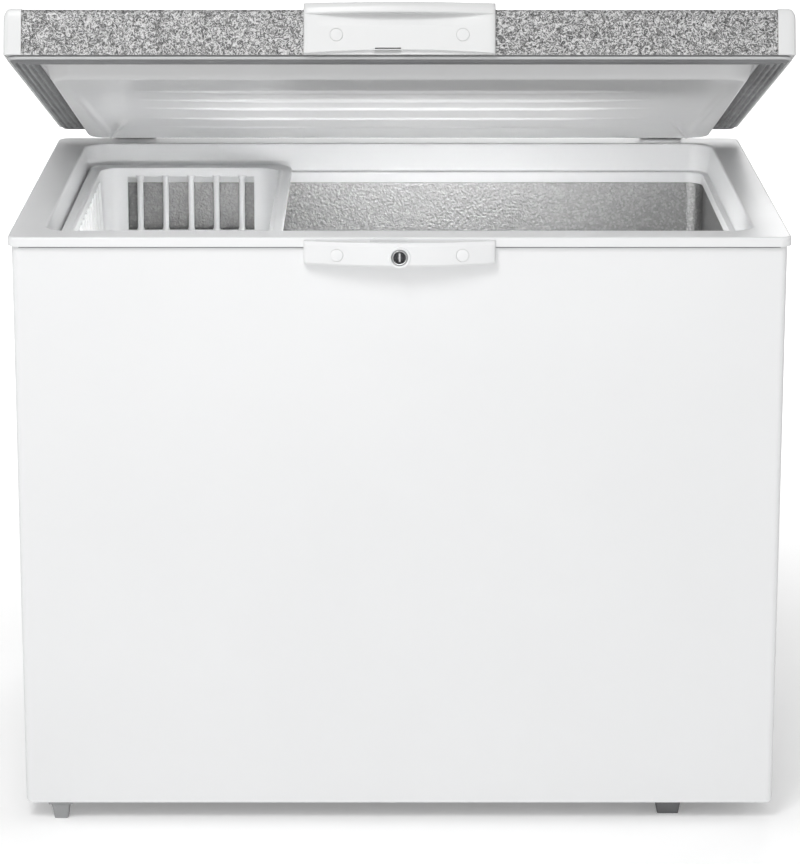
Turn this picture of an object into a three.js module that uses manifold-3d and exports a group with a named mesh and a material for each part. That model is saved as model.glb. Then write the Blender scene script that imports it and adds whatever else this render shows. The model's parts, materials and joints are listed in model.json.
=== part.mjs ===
// Chest freezer standing on its four feet with its lid part open.
//
// Millimetres, +Z up, +X to the user's right. The user stands on the -Y side. While the
// pieces are made, y is counted from the front edge of the top trim and z from the floor;
// the finished freezer is then moved forward so that its origin is the middle of its base.
// The lid is made closed, inside a group that turns it about the hinge pins.
import * as THREE from 'three';
import { mergeVertices } from 'three/addons/utils/BufferGeometryUtils.js';
import Module from 'manifold-3d';

// ---- driving dimensions ----
const WIDTH = 990;              // top trim, side to side
const DEPTH = 690;              // top trim, front to back
const RIM_TOP = 785;            // the flat rim that the lid seals on
const HALF = WIDTH / 2;
const CENTRE_Y = 358;           // middle of the whole depth, lock housing to hinges
const CLEARANCE = 0.3;          // between pieces that touch

const SHELL = { inset: 5, bottom: 24.6, top: 782, sheet: 1, plan: 8, foot: 7.5 };
const SHELL_X = HALF - SHELL.inset;
const SHELL_FRONT = SHELL.inset;
const SHELL_REAR = DEPTH - SHELL.inset;
const FOAM_INSET = 1.5;         // foam behind the painted sheet
const FOAM_BOTTOM = 27.2;

const LAND = { side: 44, front: 42, rear: 45, radius: 32 };   // the rim's flat top
const SKIRT = 12.6;             // the trim's outer lip, top to bottom
const LEDGE_Z = 745;            // the basket hangs on this step
const LEDGE_INSET = 57;         // from the trim's edge to the inside of the tub
const BAND_BOTTOM = 730;

const TUB = { x: HALF - LEDGE_INSET + 1.5, front: 55.9, rear: 633, floor: 86.2, top: 729.6 };
const TUB_SHEET = 1.2;
const TUB_RADIUS = 24;
const STEP = { x: 215, top: 330 };                    // raised floor over the compressor
const BAY = { x: 284, top: 266 };                     // compressor bay, rear right

const HINGE = { x: 384, y: 723, z: 821, width: 58, pin: 4 };
const LID_OPEN = 17.5;          // degrees from closed, as it stands
const LID = { bottom: 794, top: 852, front: 0, rear: 691.5, sheet: 1.2, edge: 23, proud: 1.5 };
const LID_HALF = HALF + 1;
const LID_FACE_X = LID_HALF - LID.edge;               // the patterned sheet ends here
const GASKET = { width: 32, outer: 490, front: 6, rear: 684, low: RIM_TOP + 0.6 };
const PLATEAU = { x: 443, front: 80, rear: 616, low: 766, radius: 44, draft: 9 };

const BASKET = { left: -444, right: -154, front: 50, rear: 636, top: 756, depth: 205 };
const BAR_PITCH = 36.6;
const BAR = 7;

const HANDLE = { half: 120, low: 794, high: 859, plate: 9, lip: 843, bow: 20, plug: 79 };
const HOUSING = { half: 121, low: 752, sag: 1, high: 781.8, ends: 8, bow: 22, wall: 2.5 };
const LOCK_Z = 763.5;
const PLUG_R = 8;

const COIL_R = 4;
const EVAPORATOR_LEVELS = [650, 560, 470, 380];
const CONDENSER_LEVELS = [660, 540, 420, 300];
const COMPRESSOR = { x: 387, y: 500, r: 68, low: 46, high: 226 };
const GRILLE = { front: 380, rear: 620, low: 60, high: 215, lip: 8 };
const KNOB = { y: 575, z: 160, r: 16 };
const DRAIN = { x: -300, y: 150 };

// ---- materials ----
const paint = (color, roughness, metalness = 0) =>
  new THREE.MeshStandardMaterial({ color, roughness, metalness });
const MATERIAL = {
  whitePaint: paint(0xf2f3f3, 0.35),
  whitePlastic: paint(0xf0f1f1, 0.4),
  basketPlastic: paint(0xeeefef, 0.45),
  speckledSheet: paint(0xb4b6b8, 0.5),
  linerSheet: paint(0xdcdedf, 0.35),
  stucco: paint(0xb9bcbf, 0.35, 0.9),
  gasket: paint(0x7e8183, 0.7),
  galvanised: paint(0x9a9da0, 0.45, 0.9),
  hingeSteel: paint(0x5c5f62, 0.4, 0.9),
  springSteel: paint(0x6f7275, 0.35, 1),
  foam: paint(0xe8d9a8, 0.95),
  copper: paint(0xb8714a, 0.3, 1),
  blackPaint: paint(0x1d1e20, 0.4, 0.3),
  blackPlastic: paint(0x222325, 0.5),
  greyPlastic: paint(0x9b9da0, 0.5),
  darkGreyPlastic: paint(0x717376, 0.55),
  rubber: paint(0x2b2b2c, 0.85),
  lockSteel: paint(0x3a3c3f, 0.3, 1),
  greenLens: paint(0x3fa35a, 0.2),
};

// ---- shapes and solids ----
const AXES = [new THREE.Vector3(1, 0, 0), new THREE.Vector3(0, 1, 0), new THREE.Vector3(0, 0, 1)];

function box(x0, x1, y0, y1, z0, z1) {
  const solid = new THREE.BoxGeometry(x1 - x0, y1 - y0, z1 - z0);
  return solid.translate((x0 + x1) / 2, (y0 + y1) / 2, (z0 + z1) / 2);
}

// A rectangle with its low and high corners rounded by their own radii.
function roundRect(x0, x1, y0, y1, low, high = low) {
  const shape = new THREE.Shape();
  const quarter = Math.PI / 2;
  const corner = (x, y, r, start) => {
    if (r > 0) shape.absarc(x, y, r, start, start + quarter);
    else shape.lineTo(x, y);
  };
  shape.moveTo(x0 + low, y0);
  corner(x1 - low, y0 + low, low, -quarter);
  corner(x1 - high, y1 - high, high, 0);
  corner(x0 + high, y1 - high, high, quarter);
  corner(x0 + low, y0 + low, low, 2 * quarter);
  return shape;
}

// Outlines drawn in XY, XZ or YZ, pushed out along the third axis.
function extrude(shape, depth, arc = 4) {
  return new THREE.ExtrudeGeometry(shape, { depth, bevelEnabled: false, curveSegments: arc });
}
const alongZ = (shape, z0, z1, arc) => extrude(shape, z1 - z0, arc).translate(0, 0, z0);
const alongY = (shape, y0, y1, arc) =>
  extrude(shape, y1 - y0, arc).rotateX(Math.PI / 2).translate(0, y1, 0);
const alongX = (shape, x0, x1, arc) =>
  extrude(shape, x1 - x0, arc)
    .applyMatrix4(new THREE.Matrix4().makeBasis(AXES[1], AXES[2], AXES[0])).translate(x0, 0, 0);

function disc(r, x0, x1, axis = 'z', sides = 20) {
  const solid = new THREE.CylinderGeometry(r, r, x1 - x0, sides);
  if (axis === 'z') solid.rotateX(Math.PI / 2).translate(0, 0, (x0 + x1) / 2);
  if (axis === 'y') solid.translate(0, (x0 + x1) / 2, 0);
  if (axis === 'x') solid.rotateZ(Math.PI / 2).translate((x0 + x1) / 2, 0, 0);
  return solid;
}

// A turned piece from [radius, height] pairs, standing on +Z.
function turned(profile, sides = 24) {
  const points = profile.map(([r, h]) => new THREE.Vector2(r, h));
  return new THREE.LatheGeometry(points, sides).rotateX(Math.PI / 2);
}

// A skin through rounded rectangles {x0, x1, y0, y1, r, z}: capped at both ends, or
// joined last to first, which makes a ring.
function loft(sections, { ring = false, arc = 3 } = {}) {
  const loops = sections.map((s) => {
    const points = roundRect(s.x0, s.x1, s.y0, s.y1, s.r).getPoints(arc);
    points.pop();
    return points;
  });
  const count = loops[0].length;
  const position = loops.flatMap((loop, i) => loop.flatMap((p) => [p.x, p.y, sections[i].z]));
  const index = [];
  const bands = ring ? loops.length : loops.length - 1;
  for (let i = 0; i < bands; i += 1) {
    const low = i * count;
    const high = ((i + 1) % loops.length) * count;
    for (let j = 0; j < count; j += 1) {
      const k = (j + 1) % count;
      index.push(low + j, low + k, high + k, low + j, high + k, high + j);
    }
  }
  if (!ring) {
    const last = (loops.length - 1) * count;
    THREE.ShapeUtils.triangulateShape(loops[0], []).forEach(([a, b, c]) => index.push(c, b, a));
    THREE.ShapeUtils.triangulateShape(loops[loops.length - 1], [])
      .forEach(([a, b, c]) => index.push(last + a, last + b, last + c));
  }
  const solid = new THREE.BufferGeometry();
  solid.setAttribute('position', new THREE.Float32BufferAttribute(position, 3));
  solid.setIndex(index);
  return solid;
}

// A run of pipe through the points of its centre line.
class PipeRun extends THREE.Curve {
  constructor(points) {
    super();
    this.points = points;
  }

  getPoint(t) {
    const place = t * (this.points.length - 1);
    const i = Math.min(Math.floor(place), this.points.length - 2);
    return this.points[i].clone().lerp(this.points[i + 1], place - i);
  }

  getPointAt(u) {
    return this.getPoint(u);
  }

  getTangentAt(u) {
    const last = this.points.length - 1;
    const i = Math.round(u * last);
    const before = this.points[Math.max(i - 1, 0)];
    return this.points[Math.min(i + 1, last)].clone().sub(before).normalize();
  }
}

// A centre line from its corners, each bent to an arc.
function bent(corners, radius, steps = 3) {
  const points = corners.map(([x, y, z]) => new THREE.Vector3(x, y, z));
  const run = [points[0]];
  for (let i = 1; i < points.length - 1; i += 1) {
    const back = points[i - 1].clone().sub(points[i]);
    const ahead = points[i + 1].clone().sub(points[i]);
    const reach = Math.min(radius, back.length() / 2.1, ahead.length() / 2.1);
    const half = back.normalize().angleTo(ahead.normalize()) / 2;
    const centre = back.clone().add(ahead).setLength(reach / Math.cos(half)).add(points[i]);
    const from = points[i].clone().addScaledVector(back, reach).sub(centre);
    const to = points[i].clone().addScaledVector(ahead, reach).sub(centre);
    const sweep = Math.PI - 2 * half;
    for (let k = 0; k <= steps; k += 1) {
      const [a, b] = [1 - k / steps, k / steps].map((t) => Math.sin(t * sweep) / Math.sin(sweep));
      run.push(centre.clone().addScaledVector(from, a).addScaledVector(to, b));
    }
  }
  run.push(points[points.length - 1]);
  return run;
}

function pipe(points, radius, sides = 6) {
  const section = new THREE.Shape();
  for (let i = 0; i < sides; i += 1) {
    const turn = (2 * Math.PI * i) / sides;
    const [x, y] = [radius * Math.cos(turn), radius * Math.sin(turn)];
    if (i === 0) section.moveTo(x, y);
    else section.lineTo(x, y);
  }
  const extrudePath = new PipeRun(points);
  return new THREE.ExtrudeGeometry(section, { steps: points.length - 1, extrudePath });
}

// ---- cutting and joining ----
const wasm = await Module();
wasm.setup();

// Six times the signed volume: below zero when the faces point inward.
function signedVolume(position, index) {
  const corner = [0, 1, 2].map(() => new THREE.Vector3());
  let sum = 0;
  for (let i = 0; i < index.count; i += 3) {
    corner.forEach((p, k) => p.fromBufferAttribute(position, index.getX(i + k)));
    sum += corner[0].dot(corner[1].clone().cross(corner[2]));
  }
  return sum;
}

function welded(geometry) {
  const bare = geometry.clone();
  bare.deleteAttribute('normal');
  bare.deleteAttribute('uv');
  const whole = mergeVertices(bare, 1e-4);
  if (signedVolume(whole.attributes.position, whole.index) < 0) {
    const flipped = Array.from(whole.index.array);
    for (let i = 0; i < flipped.length; i += 3) {
      [flipped[i], flipped[i + 1]] = [flipped[i + 1], flipped[i]];
    }
    whole.setIndex(flipped);
  }
  return whole;
}

function toManifold(geometry) {
  const whole = welded(geometry);
  return new wasm.Manifold(new wasm.Mesh({
    numProp: 3,
    vertProperties: new Float32Array(whole.attributes.position.array),
    triVerts: new Uint32Array(whole.index.array),
  }));
}

function toGeometry(manifold) {
  const mesh = manifold.getMesh();
  const geometry = new THREE.BufferGeometry();
  geometry.setAttribute('position', new THREE.Float32BufferAttribute(mesh.vertProperties, 3));
  geometry.setIndex(Array.from(mesh.triVerts));
  return geometry;
}

const fold = (first, rest, step) =>
  toGeometry(rest.reduce((body, tool) => body[step](toManifold(tool)), toManifold(first)));
const cut = (body, ...tools) => fold(body, tools, 'subtract');
const join = (body, ...others) => fold(body, others, 'add');
const common = (body, ...others) => fold(body, others, 'intersect');

function addPart(group, name, geometry, material) {
  const whole = welded(geometry);
  whole.computeVertexNormals();
  const mesh = new THREE.Mesh(whole, material);
  mesh.name = name;
  group.add(mesh);
  return mesh;
}

// ---- cabinet ----

// The cabinet's outside, drawn in by inset: rounded in plan at the front, and rounded at
// its foot as seen from the front.
function cabinetBlock(inset, rear = SHELL_REAR) {
  const x = SHELL_X - inset;
  const plan = roundRect(-x, x, SHELL_FRONT + inset, rear, SHELL.plan - inset, 0);
  const front = roundRect(-x, x, SHELL.bottom + inset, SHELL.top, SHELL.foot - inset, 0);
  return common(alongZ(plan, 0, SHELL.top), alongY(front, 0, DEPTH));
}

function outerShell() {
  const flange = 19;
  const openFoot = box(-SHELL_X + flange, SHELL_X - flange, 20, DEPTH, 0, 30);
  const grilleHole = box(SHELL_X - 9, SHELL_X + 9, GRILLE.front, GRILLE.rear, GRILLE.low, GRILLE.high);
  return cut(cabinetBlock(0), cabinetBlock(SHELL.sheet, DEPTH), openFoot, grilleHole, ...rimNotches());
}

// The sheet's rear upper corners are notched to go inside the trim's rounded corners.
const rimNotches = () => [-1, 1].map((side) => box(
  ...[side * (SHELL_X - 10), side * HALF].sort((a, b) => a - b),
  SHELL_REAR - 10, DEPTH, RIM_TOP - SKIRT - 1, RIM_TOP,
));

function backPanel() {
  const x = SHELL_X - FOAM_INSET;
  const foot = FOAM_BOTTOM + CLEARANCE;
  const head = RIM_TOP - SKIRT - 1;
  const outline = new THREE.Shape([
    [-x, foot + 6], [-x, head], [x, head], [x, BAY.top + 1],
    [BAY.x, BAY.top + 1], [BAY.x, foot], [-x + 6, foot],
  ].map(([px, pz]) => new THREE.Vector2(px, pz)));
  return alongY(outline, SHELL_REAR - SHELL.sheet, SHELL_REAR);
}

function rearCover() {
  const slots = [];
  for (let i = 0; i < 9; i += 1) {
    const z = 70 + i * 18;
    slots.push(box(BAY.x + 22, SHELL_X - 24, SHELL_REAR - 5, SHELL_REAR + 5, z, z + 7));
  }
  const sheet = box(BAY.x + 2, SHELL_X - 2, SHELL_REAR - 1.2, SHELL_REAR, 34, BAY.top - 0.5);
  return cut(sheet, ...slots, disc(6.3, SHELL_REAR - 5, SHELL_REAR + 5, 'y').translate(440, 0, 50));
}

function basePanel() {
  return cut(
    box(-SHELL_X + 7.5, BAY.x - 1, SHELL_FRONT + 2.5, SHELL_REAR - 1.5, 25.9, 26.9),
    disc(9.5, 20, 30).translate(DRAIN.x, DRAIN.y, 0),
  );
}

function tubBlock(grow, top = TUB.top) {
  const plan = roundRect(-TUB.x - grow, TUB.x + grow, TUB.front - grow, TUB.rear + grow, TUB_RADIUS + grow);
  const body = alongZ(plan, TUB.floor - grow, top);
  return cut(body, box(STEP.x + grow, SHELL_X, 0, DEPTH, 0, STEP.top - grow));
}

function innerLiner() {
  const drainHole = disc(9.4, 60, 100).translate(DRAIN.x, DRAIN.y, 0);
  return cut(tubBlock(TUB_SHEET), tubBlock(0, TUB.top + 5), drainHole);
}

// A level groove for a coil of pipe, opening into the tub or out to the shell.
function tubGroove(z) {
  const reach = TUB_SHEET + 2 * COIL_R + 3;
  const plan = roundRect(-TUB.x - reach, TUB.x + reach, TUB.front - reach, TUB.rear + reach,
    TUB_RADIUS + reach);
  return alongZ(plan, z - COIL_R - 0.8, z + COIL_R + 0.8, 3);
}

const SKIN_COIL = SHELL.sheet + COIL_R + 0.8;         // centre line, in from the shell

function skinGroove(z) {
  const reach = SKIN_COIL + COIL_R + 0.8;
  const x = SHELL_X - reach;
  const outside = box(-SHELL_X, SHELL_X, 0, 662, z - COIL_R - 0.8, z + COIL_R + 0.8);
  const kept = roundRect(-x, x, SHELL_FRONT + reach, DEPTH, 15, 0);
  return cut(outside, alongZ(kept, z - 10, z + 10, 2));
}

function insulationFoam() {
  const evaporatorRise = box(-72, 72, TUB.rear, TUB.rear + 12.5,
    Math.min(...EVAPORATOR_LEVELS) - 5, Math.max(...EVAPORATOR_LEVELS) + 5);
  const skinReach = SKIN_COIL + COIL_R + 0.8;
  const condenserRises = [-1, 1].map((side) => box(
    ...[side * (SHELL_X - skinReach), side * SHELL_X].sort((a, b) => a - b), 630, 662,
    Math.min(...CONDENSER_LEVELS) - 5, Math.max(...CONDENSER_LEVELS) + 5,
  ));
  return cut(
    cabinetBlock(FOAM_INSET, SHELL_REAR - FOAM_INSET),
    box(-SHELL_X, SHELL_X, 0, DEPTH, 0, FOAM_BOTTOM),
    tubBlock(TUB_SHEET + CLEARANCE, 760),
    alongZ(outlineAt(LEDGE_INSET - 1.7), BAND_BOTTOM - 1, LEDGE_Z),
    alongZ(outlineAt(LAND.side - 1.7), LEDGE_Z - 2, 800),
    box(BAY.x - 1, SHELL_X, 0, DEPTH, 0, BAY.top + 1),
    evaporatorRise, ...condenserRises,
    ...EVAPORATOR_LEVELS.map(tubGroove), ...CONDENSER_LEVELS.map(skinGroove),
    disc(9.8, 20, 100).translate(DRAIN.x, DRAIN.y, 0), ...rimNotches(),
  );
}

// The trim's plan outline, drawn in by d from its outer edge, at height z.
function insetSection(d, z) {
  const front = (d * LAND.front) / LAND.side;
  const rear = (d * LAND.rear) / LAND.side;
  const radius = d <= LAND.side ? 14 + ((LAND.radius - 14) * d) / LAND.side
    : LAND.radius - 0.6 * (d - LAND.side);
  return { x0: -HALF + d, x1: HALF - d, y0: front, y1: DEPTH - rear, r: radius, z };
}

function outlineAt(d) {
  const { x0, x1, y0, y1, r } = insetSection(d, 0);
  return roundRect(x0, x1, y0, y1, r);
}

function topTrim() {
  const wall = 1.8;
  const profile = [
    [0, RIM_TOP - SKIRT], [0, RIM_TOP - 2.4], [0.7, RIM_TOP - 0.7], [2.4, RIM_TOP],
    [LAND.side - 2.5, RIM_TOP], [LAND.side - 0.7, RIM_TOP - 0.8], [LAND.side, RIM_TOP - 2.6],
    [48.6, LEDGE_Z + 3], [50, LEDGE_Z], [LEDGE_INSET, LEDGE_Z], [LEDGE_INSET, BAND_BOTTOM],
    [LEDGE_INSET - 1.2, BAND_BOTTOM], [LEDGE_INSET - 1.2, LEDGE_Z - 1.6], [48.6, LEDGE_Z - 1.6],
    [46.6, LEDGE_Z + 2], [LAND.side - 1.4, RIM_TOP - wall], [wall, RIM_TOP - wall],
    [wall, RIM_TOP - SKIRT],
  ];
  const ring = loft(profile.map(([d, z]) => insetSection(d, z)), { ring: true, arc: 2 });
  const hookNotch = box(-33, 10, -3, 1, RIM_TOP - 4, RIM_TOP + 3);
  return cut(ring, hookNotch);
}

function bayWrap() {
  return join(
    box(BAY.x, BAY.x + 1, SHELL_FRONT + 4, SHELL_REAR - 1.5, FOAM_BOTTOM + 1, BAY.top),
    box(BAY.x, SHELL_X - 4, SHELL_FRONT + 4, SHELL_REAR - 1.5, BAY.top - 1, BAY.top),
  );
}

function sideGrille() {
  const { front, rear, low, high, lip } = GRILLE;
  const plate = join(
    box(SHELL_X - 4, SHELL_X + 1, front + 0.5, rear - 0.5, low + 0.5, high - 0.5),
    alongX(roundRect(front - lip, rear + lip, low - lip, high + lip, 6), SHELL_X + 0.3, SHELL_X + 3),
  );
  const slots = [];
  for (let i = 0; i < 8; i += 1) {
    const z = low + 10 + i * 17;
    slots.push(box(SHELL_X - 9, SHELL_X + 9, front + 12, rear - 92, z, z + 8));
  }
  const knobWell = disc(18, SHELL_X - 9, SHELL_X + 9, 'x', 28).translate(0, KNOB.y, KNOB.z);
  const lampHole = disc(3.6, SHELL_X - 9, SHELL_X + 9, 'x', 12).translate(0, KNOB.y, KNOB.z - 55);
  return cut(plate, ...slots, knobWell, lampHole);
}

function thermostatKnob() {
  const grip = box(SHELL_X - 1, SHELL_X + 4.6, KNOB.y - 3, KNOB.y + 3, KNOB.z - 14, KNOB.z + 14);
  return join(
    disc(KNOB.r, SHELL_X - 3.5, SHELL_X + 0.5, 'x', 28).translate(0, KNOB.y, KNOB.z),
    disc(3, SHELL_X - 14, SHELL_X - 2, 'x', 12).translate(0, KNOB.y, KNOB.z),
    grip,
  );
}

function thermostatHousing() {
  const body = alongX(roundRect(KNOB.y - 24, KNOB.y + 24, KNOB.z - 20, KNOB.z + 20, 4),
    SHELL_X - 40, SHELL_X - 6);
  return cut(body, disc(3.4, SHELL_X - 16, SHELL_X, 'x', 12).translate(0, KNOB.y, KNOB.z));
}

const indicatorLamp = () => join(
  disc(3.2, SHELL_X - 12, SHELL_X + 3.4, 'x', 12),
  disc(5, SHELL_X - 12, SHELL_X - 5, 'x', 12),
).translate(0, KNOB.y, KNOB.z - 55);

function inletGland() {
  const profile = [[0, -9], [9, -9], [9, -1.5], [6, -1.5], [6, 1.5], [10, 1.5], [10, 5], [7, 9], [0, 9]];
  return turned(profile, 20).rotateX(-Math.PI / 2).translate(440, SHELL_REAR - 0.6, 50);
}

// ---- refrigeration ----

function serpentine(levels, passAt, bend) {
  const corners = levels.flatMap((z, i) => {
    const pass = passAt(z);
    return i % 2 === 0 ? pass : pass.reverse();
  });
  return pipe(bent(corners, bend), COIL_R);
}

function evaporatorCoil() {
  const reach = TUB_SHEET + COIL_R + 2;
  const [x, front, rear] = [TUB.x + reach, TUB.front - reach, TUB.rear + reach];
  const pass = (z) => [[35, rear, z], [x, rear, z], [x, front, z], [-x, front, z], [-x, rear, z], [-35, rear, z]];
  return serpentine(EVAPORATOR_LEVELS, pass, 30);
}

function condenserCoil() {
  const [x, front] = [SHELL_X - SKIN_COIL, SHELL_FRONT + SKIN_COIL];
  const pass = (z) => [[x, 655, z], [x, front, z], [-x, front, z], [-x, 655, z]];
  return serpentine(CONDENSER_LEVELS, pass, 20);
}

function compressorBody() {
  const { x, y, r, low, high } = COMPRESSOR;
  const middle = (low + high) / 2;
  const pot = turned([
    [0, low], [r * 0.62, low + 3], [r * 0.9, low + 16], [r * 0.97, middle - 10], [r, middle - 6],
    [r, middle + 6], [r * 0.97, middle + 10], [r * 0.9, high - 20], [r * 0.6, high - 5], [0, high],
  ], 24).translate(x, y, 0);
  const feet = alongZ(roundRect(x - 88, x + 88, y - 55, y + 55, 14), low - 3, low + 6, 2);
  return join(pot, feet);
}

function grommet() {
  return turned([[0, 28.2], [9, 28.2], [9, 33], [6.5, 35.5], [9, 38], [9, 42.6], [0, 42.6]], 10);
}

function compressorPlate() {
  const plate = box(BAY.x + 1.5, SHELL_X - 7.5, SHELL_FRONT + 2.5, SHELL_REAR - 1.5, 25.9, 27.9);
  const rib = box(BAY.x + 20, SHELL_X - 20, COMPRESSOR.y - 120, COMPRESSOR.y - 116, 27.5, 36);
  return join(plate, rib);
}

function relayCover() {
  const { x, y, r } = COMPRESSOR;
  return alongZ(roundRect(x - 24, x + 24, y - r - 34, y - r - 0.6, 5), 92, 158, 2);
}

const filterDrier = () => turned([
  [0, 60], [3, 60], [3, 72], [9, 82], [9, 158], [3, 168], [3, 180], [0, 180],
], 16).translate(455, 400, 0);

const COPPER_RUNS = {
  suction_tube: [[COMPRESSOR.x - 20, 569, 150], [COMPRESSOR.x - 20, 610, 150],
    [COMPRESSOR.x - 20, 610, 262]],
  discharge_tube: [[COMPRESSOR.x + 69, 500, 120], [474, 500, 120], [474, 500, 262]],
  drier_tube: [[455, 400, 180.6], [455, 400, 225], [330, 400, 225], [330, 400, 262]],
};

// ---- drain ----
const drainTube = () => cut(disc(9, 14, 84.4), disc(7, 0, 100)).translate(DRAIN.x, DRAIN.y, 0);
const drainCap = () => turned([
  [0, 9], [13, 9], [13, 24.4], [9.4, 24.4], [9.4, 13.6], [0, 13.6],
], 20).translate(DRAIN.x, DRAIN.y, 0);
const drainPlug = () => turned([
  [0, 62], [6.4, 62], [6.4, 86.6], [15, 86.6], [15, 89], [12, 92], [4, 92], [4, 99], [0, 99],
], 20).translate(DRAIN.x, DRAIN.y, 0);

// ---- feet ----
function steppedFoot() {
  return join(
    box(-16, 16, -13, 15, 21, 24.3),
    loft([
      { x0: -9, x1: 9, y0: -9, y1: 9, r: 3, z: 0 },
      { x0: -11, x1: 11, y0: -11, y1: 12, r: 3, z: 14 },
      { x0: -13, x1: 13, y0: -12, y1: 14, r: 3, z: 21.5 },
    ]),
  );
}

function taperedFoot() {
  return loft([
    { x0: -14, x1: 14, y0: -14, y1: 14, r: 3, z: 0 },
    { x0: -17.5, x1: 17.5, y0: -17, y1: 17, r: 3, z: 22 },
    { x0: -17.5, x1: 17.5, y0: -17, y1: 17, r: 3, z: 24.3 },
  ]);
}

const FEET = [
  ['foot_front_left', steppedFoot, -445, 20, MATERIAL.greyPlastic],
  ['foot_front_right', taperedFoot, 355, 42, MATERIAL.darkGreyPlastic],
  ['foot_rear_left', steppedFoot, -445, 655, MATERIAL.greyPlastic],
  ['foot_rear_right', taperedFoot, 355, 648, MATERIAL.darkGreyPlastic],
];

// ---- lock ----

// The bowed front of the housing and of the lid handle, in plan, from x -half to half.
function bowedPlan(half, back, ends, middle, corner) {
  const shape = new THREE.Shape();
  shape.moveTo(-half, back);
  shape.lineTo(-half, -ends + corner);
  shape.quadraticCurveTo(-half, -ends, -half + corner, -ends - 0.5);
  shape.quadraticCurveTo(0, -2 * middle + ends, half - corner, -ends - 0.5);
  shape.quadraticCurveTo(half, -ends, half, -ends + corner);
  shape.lineTo(half, back);
  return shape;
}

// Where the bowed front stands at x, so that round plugs can sit in it.
const bowAt = (x, half, ends, middle) => -(ends + (middle - ends) * (1 - (x / half) ** 2));

function plugs(z, half, ends, middle) {
  return [-1, 1].map((side) => disc(PLUG_R, -2.2, 0, 'y', 20)
    .rotateZ(side * 0.16).translate(side * HANDLE.plug, bowAt(HANDLE.plug, half, ends, middle) + 1.5, z));
}

function lockHousing() {
  const { half, low, sag, high, ends, bow, wall } = HOUSING;
  const outside = alongZ(bowedPlan(half, 4.7, ends, bow, 4), low - sag, high, 6);
  const hollow = alongZ(bowedPlan(half - wall, 8, ends - wall, bow - wall, 3),
    low, high - wall, 6);
  const behindTrim = box(-half - 5, half + 5, -0.4, 9, RIM_TOP - SKIRT - 0.4, RIM_TOP);
  const sagging = new THREE.Shape();
  sagging.moveTo(-half - 1, low - sag - 1);
  sagging.lineTo(-half - 1, low);
  sagging.quadraticCurveTo(0, low - 2 * sag, half + 1, low);
  sagging.lineTo(half + 1, low - sag - 1);
  const hookSlot = box(-37, 8, -11, -3, high - 5, high + 5);
  const keyHole = disc(10.4, -40, 0, 'y', 24).translate(0, 0, LOCK_Z);
  const wells = [-1, 1].map((side) => disc(PLUG_R + 0.3, -3.4, 6, 'y', 20).rotateZ(side * 0.16)
    .translate(side * HANDLE.plug, bowAt(HANDLE.plug, half, ends, bow) + 1.5, 765));
  const collar = cut(disc(13, -bow - 2.2, -bow + 3, 'y', 28), disc(10.4, -bow - 9, -bow + 9, 'y', 24));
  const shell = cut(outside, hollow, behindTrim, alongY(sagging, -40, 10, 8), hookSlot, keyHole, ...wells);
  return join(shell, collar.translate(0, 0, LOCK_Z));
}

function lockCylinder() {
  const key = box(-1.1, 1.1, -HOUSING.bow - 9, -HOUSING.bow, LOCK_Z - 5, LOCK_Z + 5);
  return cut(
    join(
      disc(10, -HOUSING.bow - 1.4, -HOUSING.bow + 8, 'y', 24).translate(0, 0, LOCK_Z),
      disc(7, -HOUSING.bow + 7, -9.2, 'y', 16).translate(0, 0, LOCK_Z),
    ),
    key,
  );
}

// The hook lies flat to the left when unlocked and points up when locked.
function lockHook() {
  const outline = new THREE.Shape();
  outline.moveTo(0, -8);
  outline.absarc(0, 0, 8, -Math.PI / 2, Math.PI / 2);
  outline.lineTo(-30, 4);
  outline.lineTo(-35, 1);
  outline.lineTo(-35, -4);
  outline.lineTo(-10, -4);
  outline.closePath();
  return alongY(outline, -8.8, -5.8, 6).translate(0, 0, LOCK_Z);
}

// ---- lid, made closed ----

function lidTopPanel() {
  const { bottom, top, front, rear, sheet } = LID;
  const outside = alongX(roundRect(front, rear, bottom, top, 0, 7), -LID_FACE_X, LID_FACE_X);
  const inside = alongX(roundRect(front + sheet, rear - sheet, bottom - 9, top - sheet, 0, 5.8), -HALF, HALF);
  return cut(outside, inside);
}

function lidSideTrim(side) {
  const { bottom, top, front, rear, proud } = LID;
  const [inner, outer] = [LID_FACE_X + CLEARANCE, LID_HALF];
  const wall = 2.5;
  const body = loft([
    { x0: inner, x1: outer, y0: front - proud, y1: rear + proud, r: 4, z: bottom },
    { x0: inner, x1: outer, y0: front - proud, y1: rear + proud, r: 4, z: top - 8 },
    { x0: inner, x1: outer - 2, y0: front - proud + 0.5, y1: rear + proud - 0.5, r: 4, z: top - 2.5 },
    { x0: inner, x1: outer - 8, y0: front - proud + 3, y1: rear + proud - 3, r: 3, z: top + 0.6 },
  ]);
  const hollow = box(inner - 5, outer - wall, front + proud, rear - proud, bottom - 5, top - 3);
  const trim = cut(body, hollow);
  return side > 0 ? trim : trim.scale(-1, 1, 1);
}

function lidFoam() {
  const plate = box(-LID_HALF + 3.2, LID_HALF - 3.2, LID.front + 3, LID.rear - 3,
    LID.bottom + 1.9, LID.top - 3.4);
  const cornerRelief = [-1, 1].map((side) => box(
    ...[side * (LID_HALF - 10), side * (LID_HALF + 2)].sort((a, b) => a - b),
    0, DEPTH + 5, LID.top - 7, LID.top,
  ));
  const trimmed = cut(plate, ...cornerRelief);
  const dish = plateauSections(1.8).reverse();
  return join(trimmed, loft([...dish, { ...dish[dish.length - 1], z: LID.bottom + 8 }]));
}

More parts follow.
